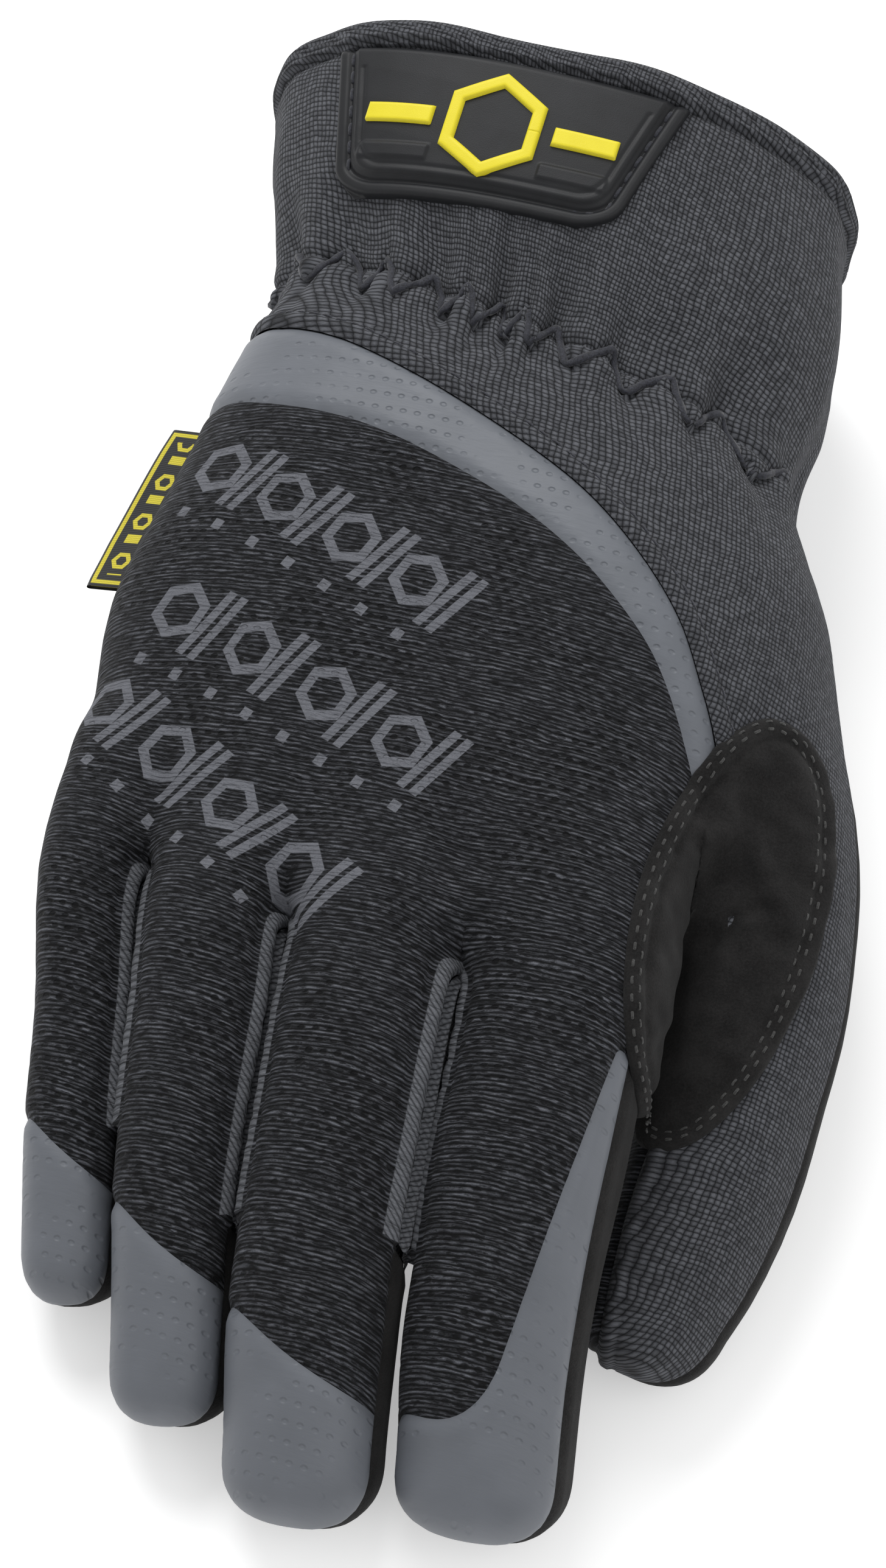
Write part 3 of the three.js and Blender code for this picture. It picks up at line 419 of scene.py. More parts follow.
def band_value(p):
    return np.where(p[:, 1] < FINGERS_START, OUTSIDE, band_line(p))


# What each region is worth at a point: p points, f nearest fingers, m the values of the regions before it
REGIONS = {
    "beyond": lambda p, f, m: mouth_plane(p),
    "hem": lambda p, f, m: mouth_plane(p) + HEM_WIDTH,
    "cuff": lambda p, f, m: elastic_plane(p),
    "height": lambda p, f, m: back_height(p),
    "low": lambda p, f, m: low_height(p),
    "back": lambda p, f, m: np.minimum(m["height"], -m["cuff"]),
    "arc": lambda p, f, m: np.where((f == INDEX) & (p[:, 1] < FINGERS_START), OUTSIDE, arc_line(p)),
    "knit": lambda p, f, m: np.minimum(m["arc"], m["back"]),
    "band": lambda p, f, m: np.minimum(np.minimum(band_value(p), m["back"]), -m["knit"]),
    "tip": lambda p, f, m: np.minimum(tip_value(p, f), m["back"]),
    "gusset": lambda p, f, m: gusset_value(p, f, m["low"], m["back"]),
}
NO_CUT = ("height", "low", "arc")


class Surface:
    """Triangles, with the nearest finger of each point, that can be cut where a value is nought."""

    def __init__(self, cell, p, finger, f):
        self.cell, self.p, self.finger, self.f = cell, p, finger, f
        self.fixed = np.zeros(len(p), bool)
        self.m = {}

    def cut_regions(self):
        for name, fn in REGIONS.items():
            self.m[name] = fn(self.p, self.finger, self.m)
            if name not in NO_CUT:
                self.cut(name)

    def cut(self, name):
        g = self.m[name]
        g[np.abs(g) < np.where(self.fixed, 0.15 * self.cell, 1e-4)] = 0
        e = np.unique(np.sort(edges_of(self.f), 1), axis=0)
        e = e[g[e[:, 0]] * g[e[:, 1]] < 0]
        t = g[e[:, 0]] / (g[e[:, 0]] - g[e[:, 1]])
        first = t < 0.5
        src, dst = np.where(first, e[:, 0], e[:, 1]), np.where(first, e[:, 1], e[:, 0])
        share = np.where(first, t, 1 - t)
        ok = (share < 0.35) & ~self.fixed[src]
        order = np.argsort(share[ok], kind="stable")
        src, dst, share = src[ok][order], dst[ok][order], share[ok][order]
        src, at = np.unique(src, return_index=True)
        dst, share = dst[at], share[at]
        self.p[src] = self.p[src] + (self.p[dst] - self.p[src]) * share[:, None]
        for key, mark in self.m.items():
            if key != name:
                mark[src] = mark[src] + (mark[dst] - mark[src]) * share
        g[src] = 0
        self.fixed[src] = True
        s = np.sign(g).astype(int)
        sf = s[self.f]
        crossing = (sf.max(1) == 1) & (sf.min(1) == -1)
        keep, c = self.f[~crossing], self.f[crossing]
        sc = s[c]
        zero = (sc == 0).any(1)
        z, o = c[zero], c[~zero]
        rz = np.argmax(s[z] == 0, 1)
        ro = np.argmax(s[o] == -np.sign(s[o].sum(1))[:, None], 1)
        row_z, row_o = np.arange(len(z)), np.arange(len(o))
        za, zb, zc = (z[row_z, (rz + k) % 3] for k in range(3))
        oa, ob, oc = (o[row_o, (ro + k) % 3] for k in range(3))
        pairs = np.concatenate([np.stack([zb, zc], 1), np.stack([oa, ob], 1), np.stack([oa, oc], 1)])
        if not len(pairs):
            return
        keys, inverse = np.unique(np.sort(pairs, 1), axis=0, return_inverse=True)
        inverse = inverse.reshape(-1) + len(self.p)
        i, j = keys.T
        t = g[i] / (g[i] - g[j])
        lerp = lambda a: a[i] + (a[j] - a[i]) * (t[:, None] if a.ndim == 2 else t)
        self.p = np.concatenate([self.p, lerp(self.p)])
        self.finger = np.concatenate([self.finger, self.finger[i]])
        self.fixed = np.concatenate([self.fixed, np.ones(len(i), bool)])
        for key, mark in self.m.items():
            self.m[key] = np.concatenate([mark, np.zeros(len(i)) if key == name else lerp(mark)])
        m0, m1, m2 = np.split(inverse, [len(z), len(z) + len(o)])
        self.f = np.concatenate([
            keep, np.stack([za, zb, m0], 1), np.stack([za, m0, zc], 1),
            np.stack([oa, m1, m2], 1), np.stack([m1, ob, oc], 1), np.stack([m1, oc, m2], 1)])

    def inside(self, name):
        total = self.m[name][self.f].sum(1)
        flat = total == 0
        if flat.any():
            centre = self.p[self.f[flat]].mean(1)
            finger = self.finger[self.f[flat, 0]]
            known = {}
            for key, fn in REGIONS.items():
                known[key] = fn(centre, finger, known)
                if key == name:
                    break
            total[flat] = known[name]
        return total > 0

    def labels(self):
        is_in = {name: self.inside(name) for name in REGIONS if name not in NO_CUT}
        finger = self.finger[self.f[:, 0]]
        gap = gap_of(self.p[self.f].mean(1))
        gusset = np.array(["palm_panel"] + ["gusset_" + n for n in GUSSET_END])[gap]
        tip = np.array(["tip_" + n for n in LIMB_NAMES])[finger]
        out = np.full(len(self.f), "palm_panel", dtype="U20")
        names = {"gusset": gusset, "back": "back_panel", "tip": tip, "band": "knuckle_band",
                 "knit": "knit_back", "cuff": "cuff", "hem": "cuff_hem", "beyond": ""}
        for region, name in names.items():
            out = np.where(is_in[region], name, out)
        return out


def vertex_normals(p, f):
    n = np.cross(p[f[:, 1]] - p[f[:, 0]], p[f[:, 2]] - p[f[:, 0]])
    out = np.zeros_like(p)
    for k in range(3):
        np.add.at(out, f[:, k], n)
    return unit(out)


# Folds, puckers and small relief
# Soft ridges and dips beside a line: height, distance from the line and width of each
RIDGES = {"seam": [(-0.5, 0, 0.85), (0.14, 2.3, 1.2)], "arc": [(-0.35, ARC_STITCH_IN, 0.4)],
          "gusset": [(1.5, -0.9, 0.8)], "turned_edge": [(1.1, 1.7, 1.5), (-0.4, 4.2, 0.6)],
          "patch": [(-0.45, 3.3, 0.7)], "elastic": [(-0.7, 0, 1.3)],
          "badge": [(-0.75, BADGE["groove"], 0.42)], "badge_frame": [(-0.25, 5.0, 0.3)]}


# Soft waves in the cloth: height, stretch along the hand, length and seed of each
WAVES = {"cuff": [(0.55, 0.55, 34, 3), (0.3, 1, 15, 4)], "hand": [(0.25, 0.7, 21, 5)],
         "patch": [(0.22, 1, 9, 11), (0.12, 1, 4.5, 12)]}


def ridges(name, x):
    return sum(height * bell(x, at, width) for height, at, width in RIDGES[name])


def waves(p, length, seed, count=7):
    """Smooth noise between about -1 and 1: a few plane waves of one length in fixed directions."""
    rng = np.random.default_rng(seed)
    way = unit(rng.normal(size=(count, 3)))
    phase = rng.uniform(0, 2 * math.pi, count)
    scale = rng.uniform(0.7, 1.3, count)
    return np.cos((p @ way.T) * (2 * math.pi / length) * scale + phase).sum(1) / math.sqrt(count)


def swell(name, p):
    rows = WAVES[name]
    return sum(height * waves(p * [1, stretch, 1], length, seed) for height, stretch, length, seed in rows)


def pucker_turns(t):
    """Phase of the puckers at an angle round the wrist; their spacing is uneven."""
    return PUCKERS * (t + 0.05 * np.sin(3 * t + 1) + 0.03 * np.sin(7 * t))


def pucker_angle(p):
    """Angle round the wrist, nought on the back, and the puckers' phase there."""
    place = hand.locate(p)
    t = np.arctan2(place["u"], place["v"])
    return t, pucker_turns(t)


def zigzag(turns):
    """Offset of the elastic stitch along the hand, in millimetres, for a phase of the puckers."""
    t = (turns / (2 * math.pi)) % 1
    return ZIGZAG["half"] * (1 - 4 * np.abs(t - 0.5)) - ZIGZAG["shift"]


def relief(p):
    """Height of the folds: puckers at the elastic, the thread's groove, and soft waves in the cloth."""
    t, turns = pucker_angle(p)
    a = elastic_plane(p) - zigzag(turns)
    over = bell(a, 0, np.where(a > 0, PUCKER["above"], PUCKER["below"]))
    pucker = PUCKER["height"] * over * np.cos(turns + np.where(a > 0, 0, math.pi))
    cuffness = smoothstep(elastic_plane(p), -8, 25)
    soft = cuffness * swell("cuff", p) + (1 - cuffness) * swell("hand", p)
    return pucker * (0.8 + 0.4 * np.sin(5 * t + 2)) + ridges("elastic", a) + soft


class Skin:
    """One piece of the surface: points, normals and triangles, with the distance to its own border."""

    def __init__(self, p, n, f, splits=0):
        used, f = np.unique(f, return_inverse=True)
        self.p, self.n, self.f = p[used], n[used], f.reshape(-1, 3)
        for _ in range(splits):
            self.split()
        e = edges_of(self.f)
        _key, back, count = np.unique(np.sort(e, 1), axis=0, return_inverse=True, return_counts=True)
        self.rim = e[count[back.reshape(-1)] == 1]
        ends = self.p[self.rim]
        points = np.concatenate([ends[:, 0], ends.mean(1)])
        tree = KDTree(len(points))
        for i, q in enumerate(points):
            tree.insert(q, i)
        tree.balance()
        self.seam = np.array([tree.find(q)[2] for q in self.p])

    def split(self):
        key, back = np.unique(np.sort(edges_of(self.f), 1), axis=0, return_inverse=True)
        m = back.reshape(3, -1).T + len(self.p)
        i, j = key.T
        self.p = np.concatenate([self.p, (self.p[i] + self.p[j]) / 2])
        self.n = unit(np.concatenate([self.n, self.n[i] + self.n[j]]))
        a, b, c = self.f.T
        self.f = np.concatenate([np.stack([a, m[:, 0], m[:, 2]], 1), np.stack([m[:, 0], b, m[:, 1]], 1),
                                 np.stack([m[:, 2], m[:, 1], c], 1), m])


def to_metres(p):
    return (p + SHIFT) / 1000


def add_object(name, data):
    obj = bpy.data.objects.new(name, data)
    bpy.context.scene.collection.objects.link(obj)
    return obj


def make_object(name, points, faces, material, nodes=(), attributes=None):
    mesh = bpy.data.meshes.new(name)
    mesh.from_pydata(to_metres(points).tolist(), [], [list(map(int, f)) for f in faces])
    mesh.update()
    for key, values in (attributes or {}).items():
        layer = mesh.attributes.new(key, "FLOAT_VECTOR", "POINT")
        layer.data.foreach_set("vector", np.asarray(values, np.float32).reshape(-1))
    mesh.polygons.foreach_set("use_smooth", np.ones(len(mesh.polygons), bool))
    mesh.materials.append(material)
    obj = add_object(name, mesh)
    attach(obj, "root")
    if nodes:
        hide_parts(*nodes)
    return obj


# Materials
class Value:
    """A socket of a material's node tree that takes plain arithmetic."""

    def __init__(self, shader, socket):
        self.shader, self.socket = shader, socket

    def __add__(self, other):
        return self.shader.math("ADD", self, other)

    def __sub__(self, other):
        return self.shader.math("SUBTRACT", self, other)

    def __rsub__(self, other):
        return self.shader.math("SUBTRACT", other, self)

    def __mul__(self, other):
        return self.shader.math("MULTIPLY", self, other)

    def __truediv__(self, other):
        return self.shader.math("DIVIDE", self, other)

    def __mod__(self, other):
        return self.shader.math("MODULO", self, other)

    def __pow__(self, other):
        return self.shader.math("POWER", self, other)

    def __abs__(self):
        return self.shader.math("ABSOLUTE", self)

    __radd__, __rmul__ = __add__, __mul__

    def clamped(self):
        self.socket.node.use_clamp = True
        return self


class Shader:
    """A material and short ways to add nodes to it. Lengths in its maths are millimetres."""

    def __init__(self, name):
        self.material = bpy.data.materials.new(name)
        self.material.use_nodes = True
        self.tree = self.material.node_tree
        self.bsdf = self.tree.nodes["Principled BSDF"]

    def put(self, socket, value):
        if isinstance(value, Value):
            self.tree.links.new(value.socket, socket)
        elif isinstance(value, tuple):
            socket.default_value = (*value, 1.0)
        else:
            socket.default_value = value

    def node(self, kind, inputs, output=0, **settings):
        """A new node with its inputs filled, as the value of one of its outputs."""
        node = self.tree.nodes.new("ShaderNode" + kind)
        for key, value in settings.items():
            setattr(node, key, value)
        for key, value in inputs.items():
            self.put(node.inputs[key], value)
        return Value(self, node.outputs[output])

    def math(self, op, *values):
        return self.node("Math", dict(enumerate(values)), operation=op)

    def attribute(self, name):
        source = self.node("Attribute", {}, "Vector", attribute_name=name)
        split = self.node("SeparateXYZ", {0: source}).socket.node
        return [Value(self, socket) for socket in split.outputs]

    def vector(self, x, y):
        return self.node("CombineXYZ", {0: x, 1: y})

    def place(self):
        at = self.node("TexCoord", {}, "Object")
        return self.node("VectorMath", {0: at, "Scale": 1000}, operation="SCALE")

    def noise(self, vector, scale, detail=2.0, rough=0.5):
        inputs = {"Vector": vector, "Scale": scale, "Detail": detail, "Roughness": rough}
        return self.node("TexNoise", inputs, "Fac")

    def white(self, vector):
        return self.node("TexWhiteNoise", {"Vector": vector}, "Value", noise_dimensions="3D")

    def between(self, value, low, high, out_low=0.0, out_high=1.0):
        inputs = {"Value": value, "From Min": low, "From Max": high, "To Min": out_low, "To Max": out_high}
        return self.node("MapRange", inputs, "Result", interpolation_type="SMOOTHSTEP")

    def under(self, value, low, high):
        """One below "low" and nought above "high"."""
        return self.between(value, low, high, 1.0, 0.0)

    def larger(self, a, b):
        return self.math("MAXIMUM", a, b)

    def sine(self, value, pitch):
        """A sine between nought and one."""
        return self.math("SINE", value * (2 * math.pi / pitch)) * 0.5 + 0.5

    def loops(self, value):
        """Round humps, one for each whole number."""
        return abs(self.math("SINE", value * math.pi))

    def repeated(self, value, period):
        """Signed distance to the middle of the period that a value falls in."""
        return (self.math("FRACT", value / period) - 0.5) * period

    def hexagon(self, dx, dy):
        return self.larger(dx, dx * 0.5 + dy * 0.866)

    def staggered(self, u, v, across, down, wide, tall):
        """Distance to the nearest of many dots, each row half a step from the last."""
        row = v / down
        sideways = self.math("FLOOR", row) % 2.0 * 0.5
        hx = self.math("FRACT", u / across + sideways) - 0.5
        hy = self.math("FRACT", row) - 0.5
        return self.math("SQRT", (abs(hx) * wide) ** 2.0 + (abs(hy) * tall) ** 2.0)

    def colour(self, factor, a, b):
        return self.node("Mix", {"Factor": factor, 6: a, 7: b}, 2, data_type="RGBA")

    def bump(self, height, depth_mm, strength=1.0):
        inputs = {"Height": height, "Distance": depth_mm / 1000, "Strength": strength}
        return self.node("Bump", inputs, "Normal")

    def finish(self, colour, roughness, **values):
        self.put(self.bsdf.inputs["Base Color"], colour)
        self.put(self.bsdf.inputs["Roughness"], roughness)
        for key, value in values.items():
            self.put(self.bsdf.inputs[key.replace("_", " ")], value)
        return self.material


# Dark and light colour of each material; in the knits, the ribbed mesh and its turned edge the dark colour is
# mostly painted shade in the gaps between stitches and ribs
KNIT_COLOURS = (0.004, 0.0042, 0.005), (0.118, 0.122, 0.136)
MESH_COLOURS = (0.0022, 0.0023, 0.0028), (0.138, 0.144, 0.165)
PRINT_COLOUR = (0.15, 0.155, 0.175)
TURNED_COLOURS = (0.02, 0.021, 0.0235), (0.17, 0.177, 0.195)
COATING_COLOURS = (0.115, 0.124, 0.14), (0.155, 0.166, 0.188)
SUEDE_COLOURS = (0.0075, 0.0072, 0.0072), (0.03, 0.029, 0.0288)
GUSSET_COLOURS = (0.012, 0.0125, 0.014), (0.17, 0.177, 0.195)
LABEL_BLACK = (0.004, 0.004, 0.0045), (0.02, 0.02, 0.021)
LABEL_YELLOW = (0.5, 0.42, 0.012), (0.86, 0.74, 0.05)
KNIT_PITCH = {"across": 0.92, "along": 0.92 * 0.86}
RIB_PITCH = 0.66
MESH_HOLES = {"across": 2.3, "down": 1.75, "wide": 2.3, "tall": 3.0}
DENTS = {"across": 2.4, "down": 2.6, "wide": 2.0, "tall": 3.2}
# Each row of the print: x and y of its start and of its end
PRINT_ROWS = [(-47.3, 44.3, 0.8, 16.1), (-50.0, 18.7, 3.5, -11.5), (-59.6, 5.3, -10.7, -33.8)]
HEXAGONS = 4
HEXAGON = {"at": -2.6, "size": 3.5}
BARS = {"at": (2.9, 5.3), "half": 0.75, "tall": 6.0, "slant": 0.18}
SQUARES = {"below": 9.0, "step": 7.6, "half": 0.8}
TURNED_EDGE = 3.5
LABEL = {"y": 44.0, "z": 28.0, "length": 30.0, "reach": 7.5, "thick": 1.2, "fold": 0.16}


def knit_material():
    m = Shader("knit")
    u, v, _seam = m.attribute("cloth")
    u2 = u + m.noise(m.vector(u, v), 0.11) * 2.2
    v2 = v + m.noise(m.vector(v, u), 0.09) * 2.2
    jitter = m.noise(m.vector(u, v), 1.3, 1.0) * 0.28
    gu, gv = (u2 + jitter) / KNIT_PITCH["across"], (v2 + jitter) / KNIT_PITCH["along"]
    h = (m.loops(gu) * m.loops(gv)) ** 0.55
    stitch = m.white(m.vector(m.math("FLOOR", gu), m.math("FLOOR", gv)))
    fibre = m.noise(m.vector(u, v), 5.5, 2.0, 0.7)
    # The colour follows the loops' height: the near-black gaps between stitches are painted shade, while the
    # stitch and fibre noise is the yarn's own tone
    tone = (h * (stitch * 0.5 + 0.62) * (fibre * 1.1 + 0.45)).clamped()
    return m.finish(m.colour(tone, *KNIT_COLOURS), 0.92, Normal=m.bump(h + fibre * 0.25, 0.3, 0.9),
                    Specular_IOR_Level=0.15, Sheen_Weight=0.05)


def print_mask(m, u, v):
    """Three sloping rows of hexagons and slanted bars with a line of small squares under each."""
    total = 0.0
    for x0, y0, x1, y1 in PRINT_ROWS:
        length = math.hypot(x1 - x0, y1 - y0)
        cx, cy = (x1 - x0) / length, (y1 - y0) / length
        du, dv = u - x0, v - y0
        s, t = du * cx + dv * cy, dv * cx - du * cy
        fold = m.repeated(s, length / HEXAGONS)
        outline = abs(m.hexagon(abs(fold - HEXAGON["at"]), abs(t)) - HEXAGON["size"])
        marks = m.under(outline, 0.72, 0.88)
        for at in BARS["at"]:
            bar = m.under(abs(fold - at - t * BARS["slant"]), BARS["half"] - 0.06, BARS["half"] + 0.06)
            marks = m.larger(marks, bar * m.under(abs(t), BARS["tall"] - 0.1, BARS["tall"] + 0.1))
        square = m.larger(abs(t + SQUARES["below"]), abs(m.repeated(s, SQUARES["step"])))
        marks = m.larger(marks, m.under(square, SQUARES["half"], SQUARES["half"] + 0.15))
        marks = marks * (m.between(s, 0.0, 0.2) * m.under(s, length - 0.2, length))
        total = m.larger(total, marks)
    return total


def mesh_material():
    m = Shader("ribbed_mesh")
    u, v, _seam = m.attribute("cloth")
    px, py, pz = m.attribute("plan")
    trim = m.attribute("trim")[0]
    v1 = v + m.noise(m.vector(u * 0.35, v), 0.22, 3.0) * 1.9
    broken = m.noise(m.vector(u * 0.5, v1 * 2.2), 1.0, 3.0, 0.65)
    streak = m.noise(m.vector(u * 0.22, v1 * 1.3), 0.75, 2.0, 0.55)
    rib = m.sine(v1, RIB_PITCH) * m.between(broken, 0.36, 0.6, 0.08) * m.between(streak, 0.38, 0.62, 0.35)
    patchy = m.between(m.noise(m.vector(u, v), 0.06), 0.42, 0.6)
    holes = m.under(m.staggered(u, v1, **MESH_HOLES), 0.42, 0.75) * (patchy * 0.75 + 0.25)
    fibre = m.noise(m.vector(u, v), 4.5, 2.0, 0.7)
    # The colour follows the ribs: their near-black troughs and the darkened holes are painted shade, while the
    # streaks, breaks and fibre noise are the cloth's own tone
    tone = (rib * (fibre * 1.3 + 0.3) * (1.0 - holes * 0.85)).clamped()
    ink = print_mask(m, px, py) * m.between(pz, 20, 26)
    ink = ink * m.between(rib + fibre * 0.6, 0.1, 0.4, 0.6)
    shade = m.colour(ink, m.colour(tone, *MESH_COLOURS), PRINT_COLOUR)
    # The narrow turned edge beside each finger gap is the fine knit of the side strips
    # The twill's dark diagonal gaps are painted shade
    twill = (m.loops((u + v * 0.8) / 0.72) ** 0.7 * (fibre + 0.4)).clamped()
    is_turned = m.under(trim, TURNED_EDGE - 0.1, TURNED_EDGE + 0.1)
    shade = m.colour(is_turned, shade, m.colour(twill, *TURNED_COLOURS))
    return m.finish(shade, 0.8, Normal=m.bump(rib + fibre * 0.3 - holes, 0.34), Specular_IOR_Level=0.16,
                    Sheen_Weight=0.03)


def coated_material():
    m = Shader("smooth_coating")
    u, v, _seam = m.attribute("cloth")
    patchy = m.between(m.noise(m.vector(u, v), 0.07), 0.42, 0.52)
    dents = m.under(m.staggered(u, v, **DENTS), 0.2, 0.6) * patchy
    lines = m.noise(m.vector(u * 0.3, v * 1.6), 0.8, 3.0, 0.6)
    shade = m.colour(m.noise(m.vector(u, v), 0.12), *COATING_COLOURS)
    return m.finish(shade, 0.5, Normal=m.bump(lines * 0.35 - dents * 0.8, 0.24, 0.9), Specular_IOR_Level=0.35)


def suede_material():
    m = Shader("suede")
    at = m.place()
    nap = m.noise(at, 2.6, 4.0, 0.75)
    worn = m.noise(at, 0.13, 3.0, 0.6)
    fibres = m.noise(at, 7.0, 2.0, 0.8)
    tone = m.between(nap * 0.6 + worn * 0.5, 0.3, 0.85) + m.between(fibres, 0.62, 0.75) * 0.5
    shade = m.colour(tone.clamped(), *SUEDE_COLOURS)
    return m.finish(shade, 0.95, Normal=m.bump(nap + fibres * 0.5, 0.22, 0.7), Specular_IOR_Level=0.12,
                    Sheen_Weight=0.06)


def gusset_material():
    m = Shader("fine_knit")
    u, v, _seam = m.attribute("cloth")
    jitter = m.noise(m.vector(u, v), 1.2, 1.0)
    a, b = m.loops((u + v) / 1.05 + jitter), m.loops((u - v) / 0.9)
    h = a ** 0.7 * (b * 0.45 + 0.55)
    # The colour follows the loops' height h: the dark gaps between loops are painted shade
    tone = (h * (m.noise(m.vector(u, v), 5.0, 2.0, 0.7) + 0.4)).clamped()
    return m.finish(m.colour(tone, *GUSSET_COLOURS), 0.9, Normal=m.bump(h, 0.25, 0.8),
                    Specular_IOR_Level=0.15, Sheen_Weight=0.05)


def rubber_material(name, low, high, rough):
    m = Shader(name)
    fine = m.noise(m.place(), 6.0, 2.0, 0.6)
    shade = m.colour(fine * 0.4 + m.noise(m.place(), 0.25) * 0.6, low, high)
    return m.finish(shade, rough, Normal=m.bump(fine, 0.05, 0.5), Specular_IOR_Level=0.28)


def thread_material(name, low, high):
    m = Shader(name)
    twist = m.noise(m.place(), 3.5, 2.0, 0.7)
    shade = m.colour(m.between(twist, 0.3, 0.7), low, high)
    return m.finish(shade, 0.8, Normal=m.bump(twist, 0.1, 0.8), Sheen_Weight=0.2)


def label_material():
    """Black woven tape with a yellow border line and a generic row of hexagons and bars."""
    m = Shader("woven_label")
    u, v, _seam = m.attribute("cloth")
    inside = m.math("MINIMUM", m.math("MINIMUM", u, LABEL["length"] - u), LABEL["reach"] - v)
    border = m.under(abs(inside - 0.9), 0.3, 0.42)
    step = m.repeated(u, 7.5)
    dy = abs(v - 3.6)
    ring = m.under(abs(m.hexagon(abs(step + 1.3), dy) - 1.15), 0.3, 0.4)
    bar = m.under(abs(step - 2.0), 0.75, 0.85) * m.under(dy, 1.2, 1.3)
    ends = m.between(u, 2.2, 2.4) * m.under(u, 27.6, 27.8)
    marks = m.larger(border, m.larger(ring, bar) * ends)
    h = m.sine(u, 0.34) * 0.6 + m.sine(v, 0.26) * 0.4
    shade = m.colour(marks, m.colour(h, *LABEL_BLACK), m.colour(h, *LABEL_YELLOW))
    return m.finish(shade, 0.6, Normal=m.bump(h, 0.1, 0.7), Sheen_Weight=0.1)


LABEL_CLOTH = label_material()
KNIT = knit_material()
MESH = mesh_material()
COATED = coated_material()
SUEDE = suede_material()
GUSSET = gusset_material()
RUBBER = rubber_material("rubber", (0.007, 0.0073, 0.008), (0.02, 0.021, 0.024), 0.5)
EMBLEM = rubber_material("emblem_yellow", (0.72, 0.60, 0.018), (0.86, 0.75, 0.04), 0.42)
DARK_THREAD = thread_material("dark_thread", (0.006, 0.0065, 0.01), (0.03, 0.032, 0.045))
PALE_THREAD = thread_material("pale_thread", (0.016, 0.016, 0.0155), (0.05, 0.05, 0.048))


# The cloth panels
surface = Surface(CELL, *grow_surface(CELL))
surface.cut_regions()
labels = surface.labels()
NORMALS = vertex_normals(surface.p, surface.f)
LIFT = {"cuff_hem": 0.9, "knit_back": 0.45, "knuckle_band": 0.15, "cuff": 0.2}
# How often each piece's triangles are split
FINE = {"cuff": 1, "knit_back": 1, "cuff_hem": 2, "thumb_saddle": 1}
LOOK = {"cuff_hem": (KNIT, "knit"), "cuff": (KNIT, "knit"), "knit_back": (KNIT, "knit"),
        "back_panel": (MESH, "mesh"), "knuckle_band": (COATED, "coated_print"),
        "palm_panel": (SUEDE, "suede")}
for finger_name in LIMB_NAMES[:4]:
    LOOK["tip_" + finger_name] = (COATED, "coated_print")
for gusset_name in GUSSET_END:
    LOOK["gusset_" + gusset_name] = (GUSSET, "gusset_knit")
    FINE["gusset_" + gusset_name] = 2
MESH_LEAN = -9
CUFF_RADIUS = 47
# The hem's rolled lip and its row of stitches, as distances from the mouth, and its rise over the badge
HEM = {"flat": 2.5, "lip": 1.8, "row": 2.6, "row_width": 2.2, "row_height": 0.17, "pitch": 1.25,
       "over_badge": 1.1}
FAR = 99.0
ABOVE_ALL = 90.0


def skin_of(name, p, n, f):
    return Skin(p, n, f, FINE.get(name, 0))


def badge_side(p):
    return turned(p[:, 0] - BADGE["x"], p[:, 1] - BADGE["y"], BADGE["turn"])[0]


def cloth_coordinates(name, p, seam):
    """Millimetres along and across the cloth of a panel, and the distance to its border."""
    if name in ("cuff", "cuff_hem"):
        return np.stack([pucker_angle(p)[0] * CUFF_RADIUS, elastic_plane(p), seam], 1)
    if name == "knit_back":
        return np.stack([(p[:, 0] - p[:, 2]) * 0.85, p[:, 1] + 0.2 * p[:, 0], seam], 1)
    if name.startswith("gusset"):
        return np.stack([p[:, 2], p[:, 1], seam], 1)
    return np.stack([*turned(p[:, 0], p[:, 1], MESH_LEAN), seam], 1)


def hem_lift(p, lift):
    """The hem's rolled lip, its row of stitches and its rise over the badge's edge."""
    free = mouth_plane(p)
    rolled = smoothstep(free, -HEM["lip"], 0)
    lip = LIFT["cuff_hem"] * np.sqrt(np.maximum(0, 1 - rolled ** 2)) - 0.2 * rolled
    lift = np.where(free > -HEM["flat"], lip, lift)
    free = free + HEM["row"]
    row = HEM["row_height"] * np.cos(free * 2 * math.pi / HEM["pitch"])
    lift = lift + row * np.exp(-(free / HEM["row_width"]) ** 4)
    beside = smoothstep(np.abs(badge_side(p)), 33.0, 28.5)
    return lift + HEM["over_badge"] * beside * smoothstep(free, HEM["row"], -1.5)


def wall(rim, count):
    """Triangles between an outer border and the same border on the inside."""
    a, b = rim.T
    return np.concatenate([np.stack([b, a, a + count], 1), np.stack([b, a + count, b + count], 1)])


def twice(values):
    return np.concatenate([values, values])


def panel(name):
    skin = skin_of(name, surface.p, NORMALS, surface.f[labels == name])
    p, d = skin.p, skin.seam
    lift = LIFT.get(name, 0.0) * (1 - bell(d, 0, 0.7)) + ridges("seam", d)
    trim = np.full(len(p), FAR)
    if name == "cuff_hem":
        lift = hem_lift(p, lift)
    if name == "knit_back":
        fold = arc_line(p)
        lift = lift + 0.4 * smoothstep(fold, 3.3, 2.5) + ridges("arc", fold)
    if name.startswith("gusset"):
        lift = np.maximum(lift, -0.3) + ridges("gusset", back_height(p))
    if name == "back_panel":
        gap, end = gap_and_end(p)
        trim = np.where((gap > 0) & (p[:, 1] < GAP_TOP) & (p[:, 1] > end), back_height(p), FAR)
        lift = lift + ridges("turned_edge", trim)
    folds = relief(p)
    outer = p + skin.n * (folds + lift)[:, None]
    outer[:, 2] = np.maximum(outer[:, 2], np.minimum(p[:, 2], 0.02))
    inner = p - skin.n * (CLOTH - np.minimum(0.3, np.maximum(-0.4, folds * 0.5)))[:, None]
    faces = np.concatenate([skin.f, skin.f[:, ::-1] + len(p)])
    if name == "cuff_hem":
        faces = np.concatenate([faces, wall(skin.rim, len(p))])
    material, slot = LOOK[name]
    make_object("v_" + name, np.concatenate([outer, inner]), faces, material, [name],
                {"cloth": twice(cloth_coordinates(name, p, d)), "plan": twice(p),
                 "trim": np.stack([twice(trim)] * 3, 1)})
    return skin, outer


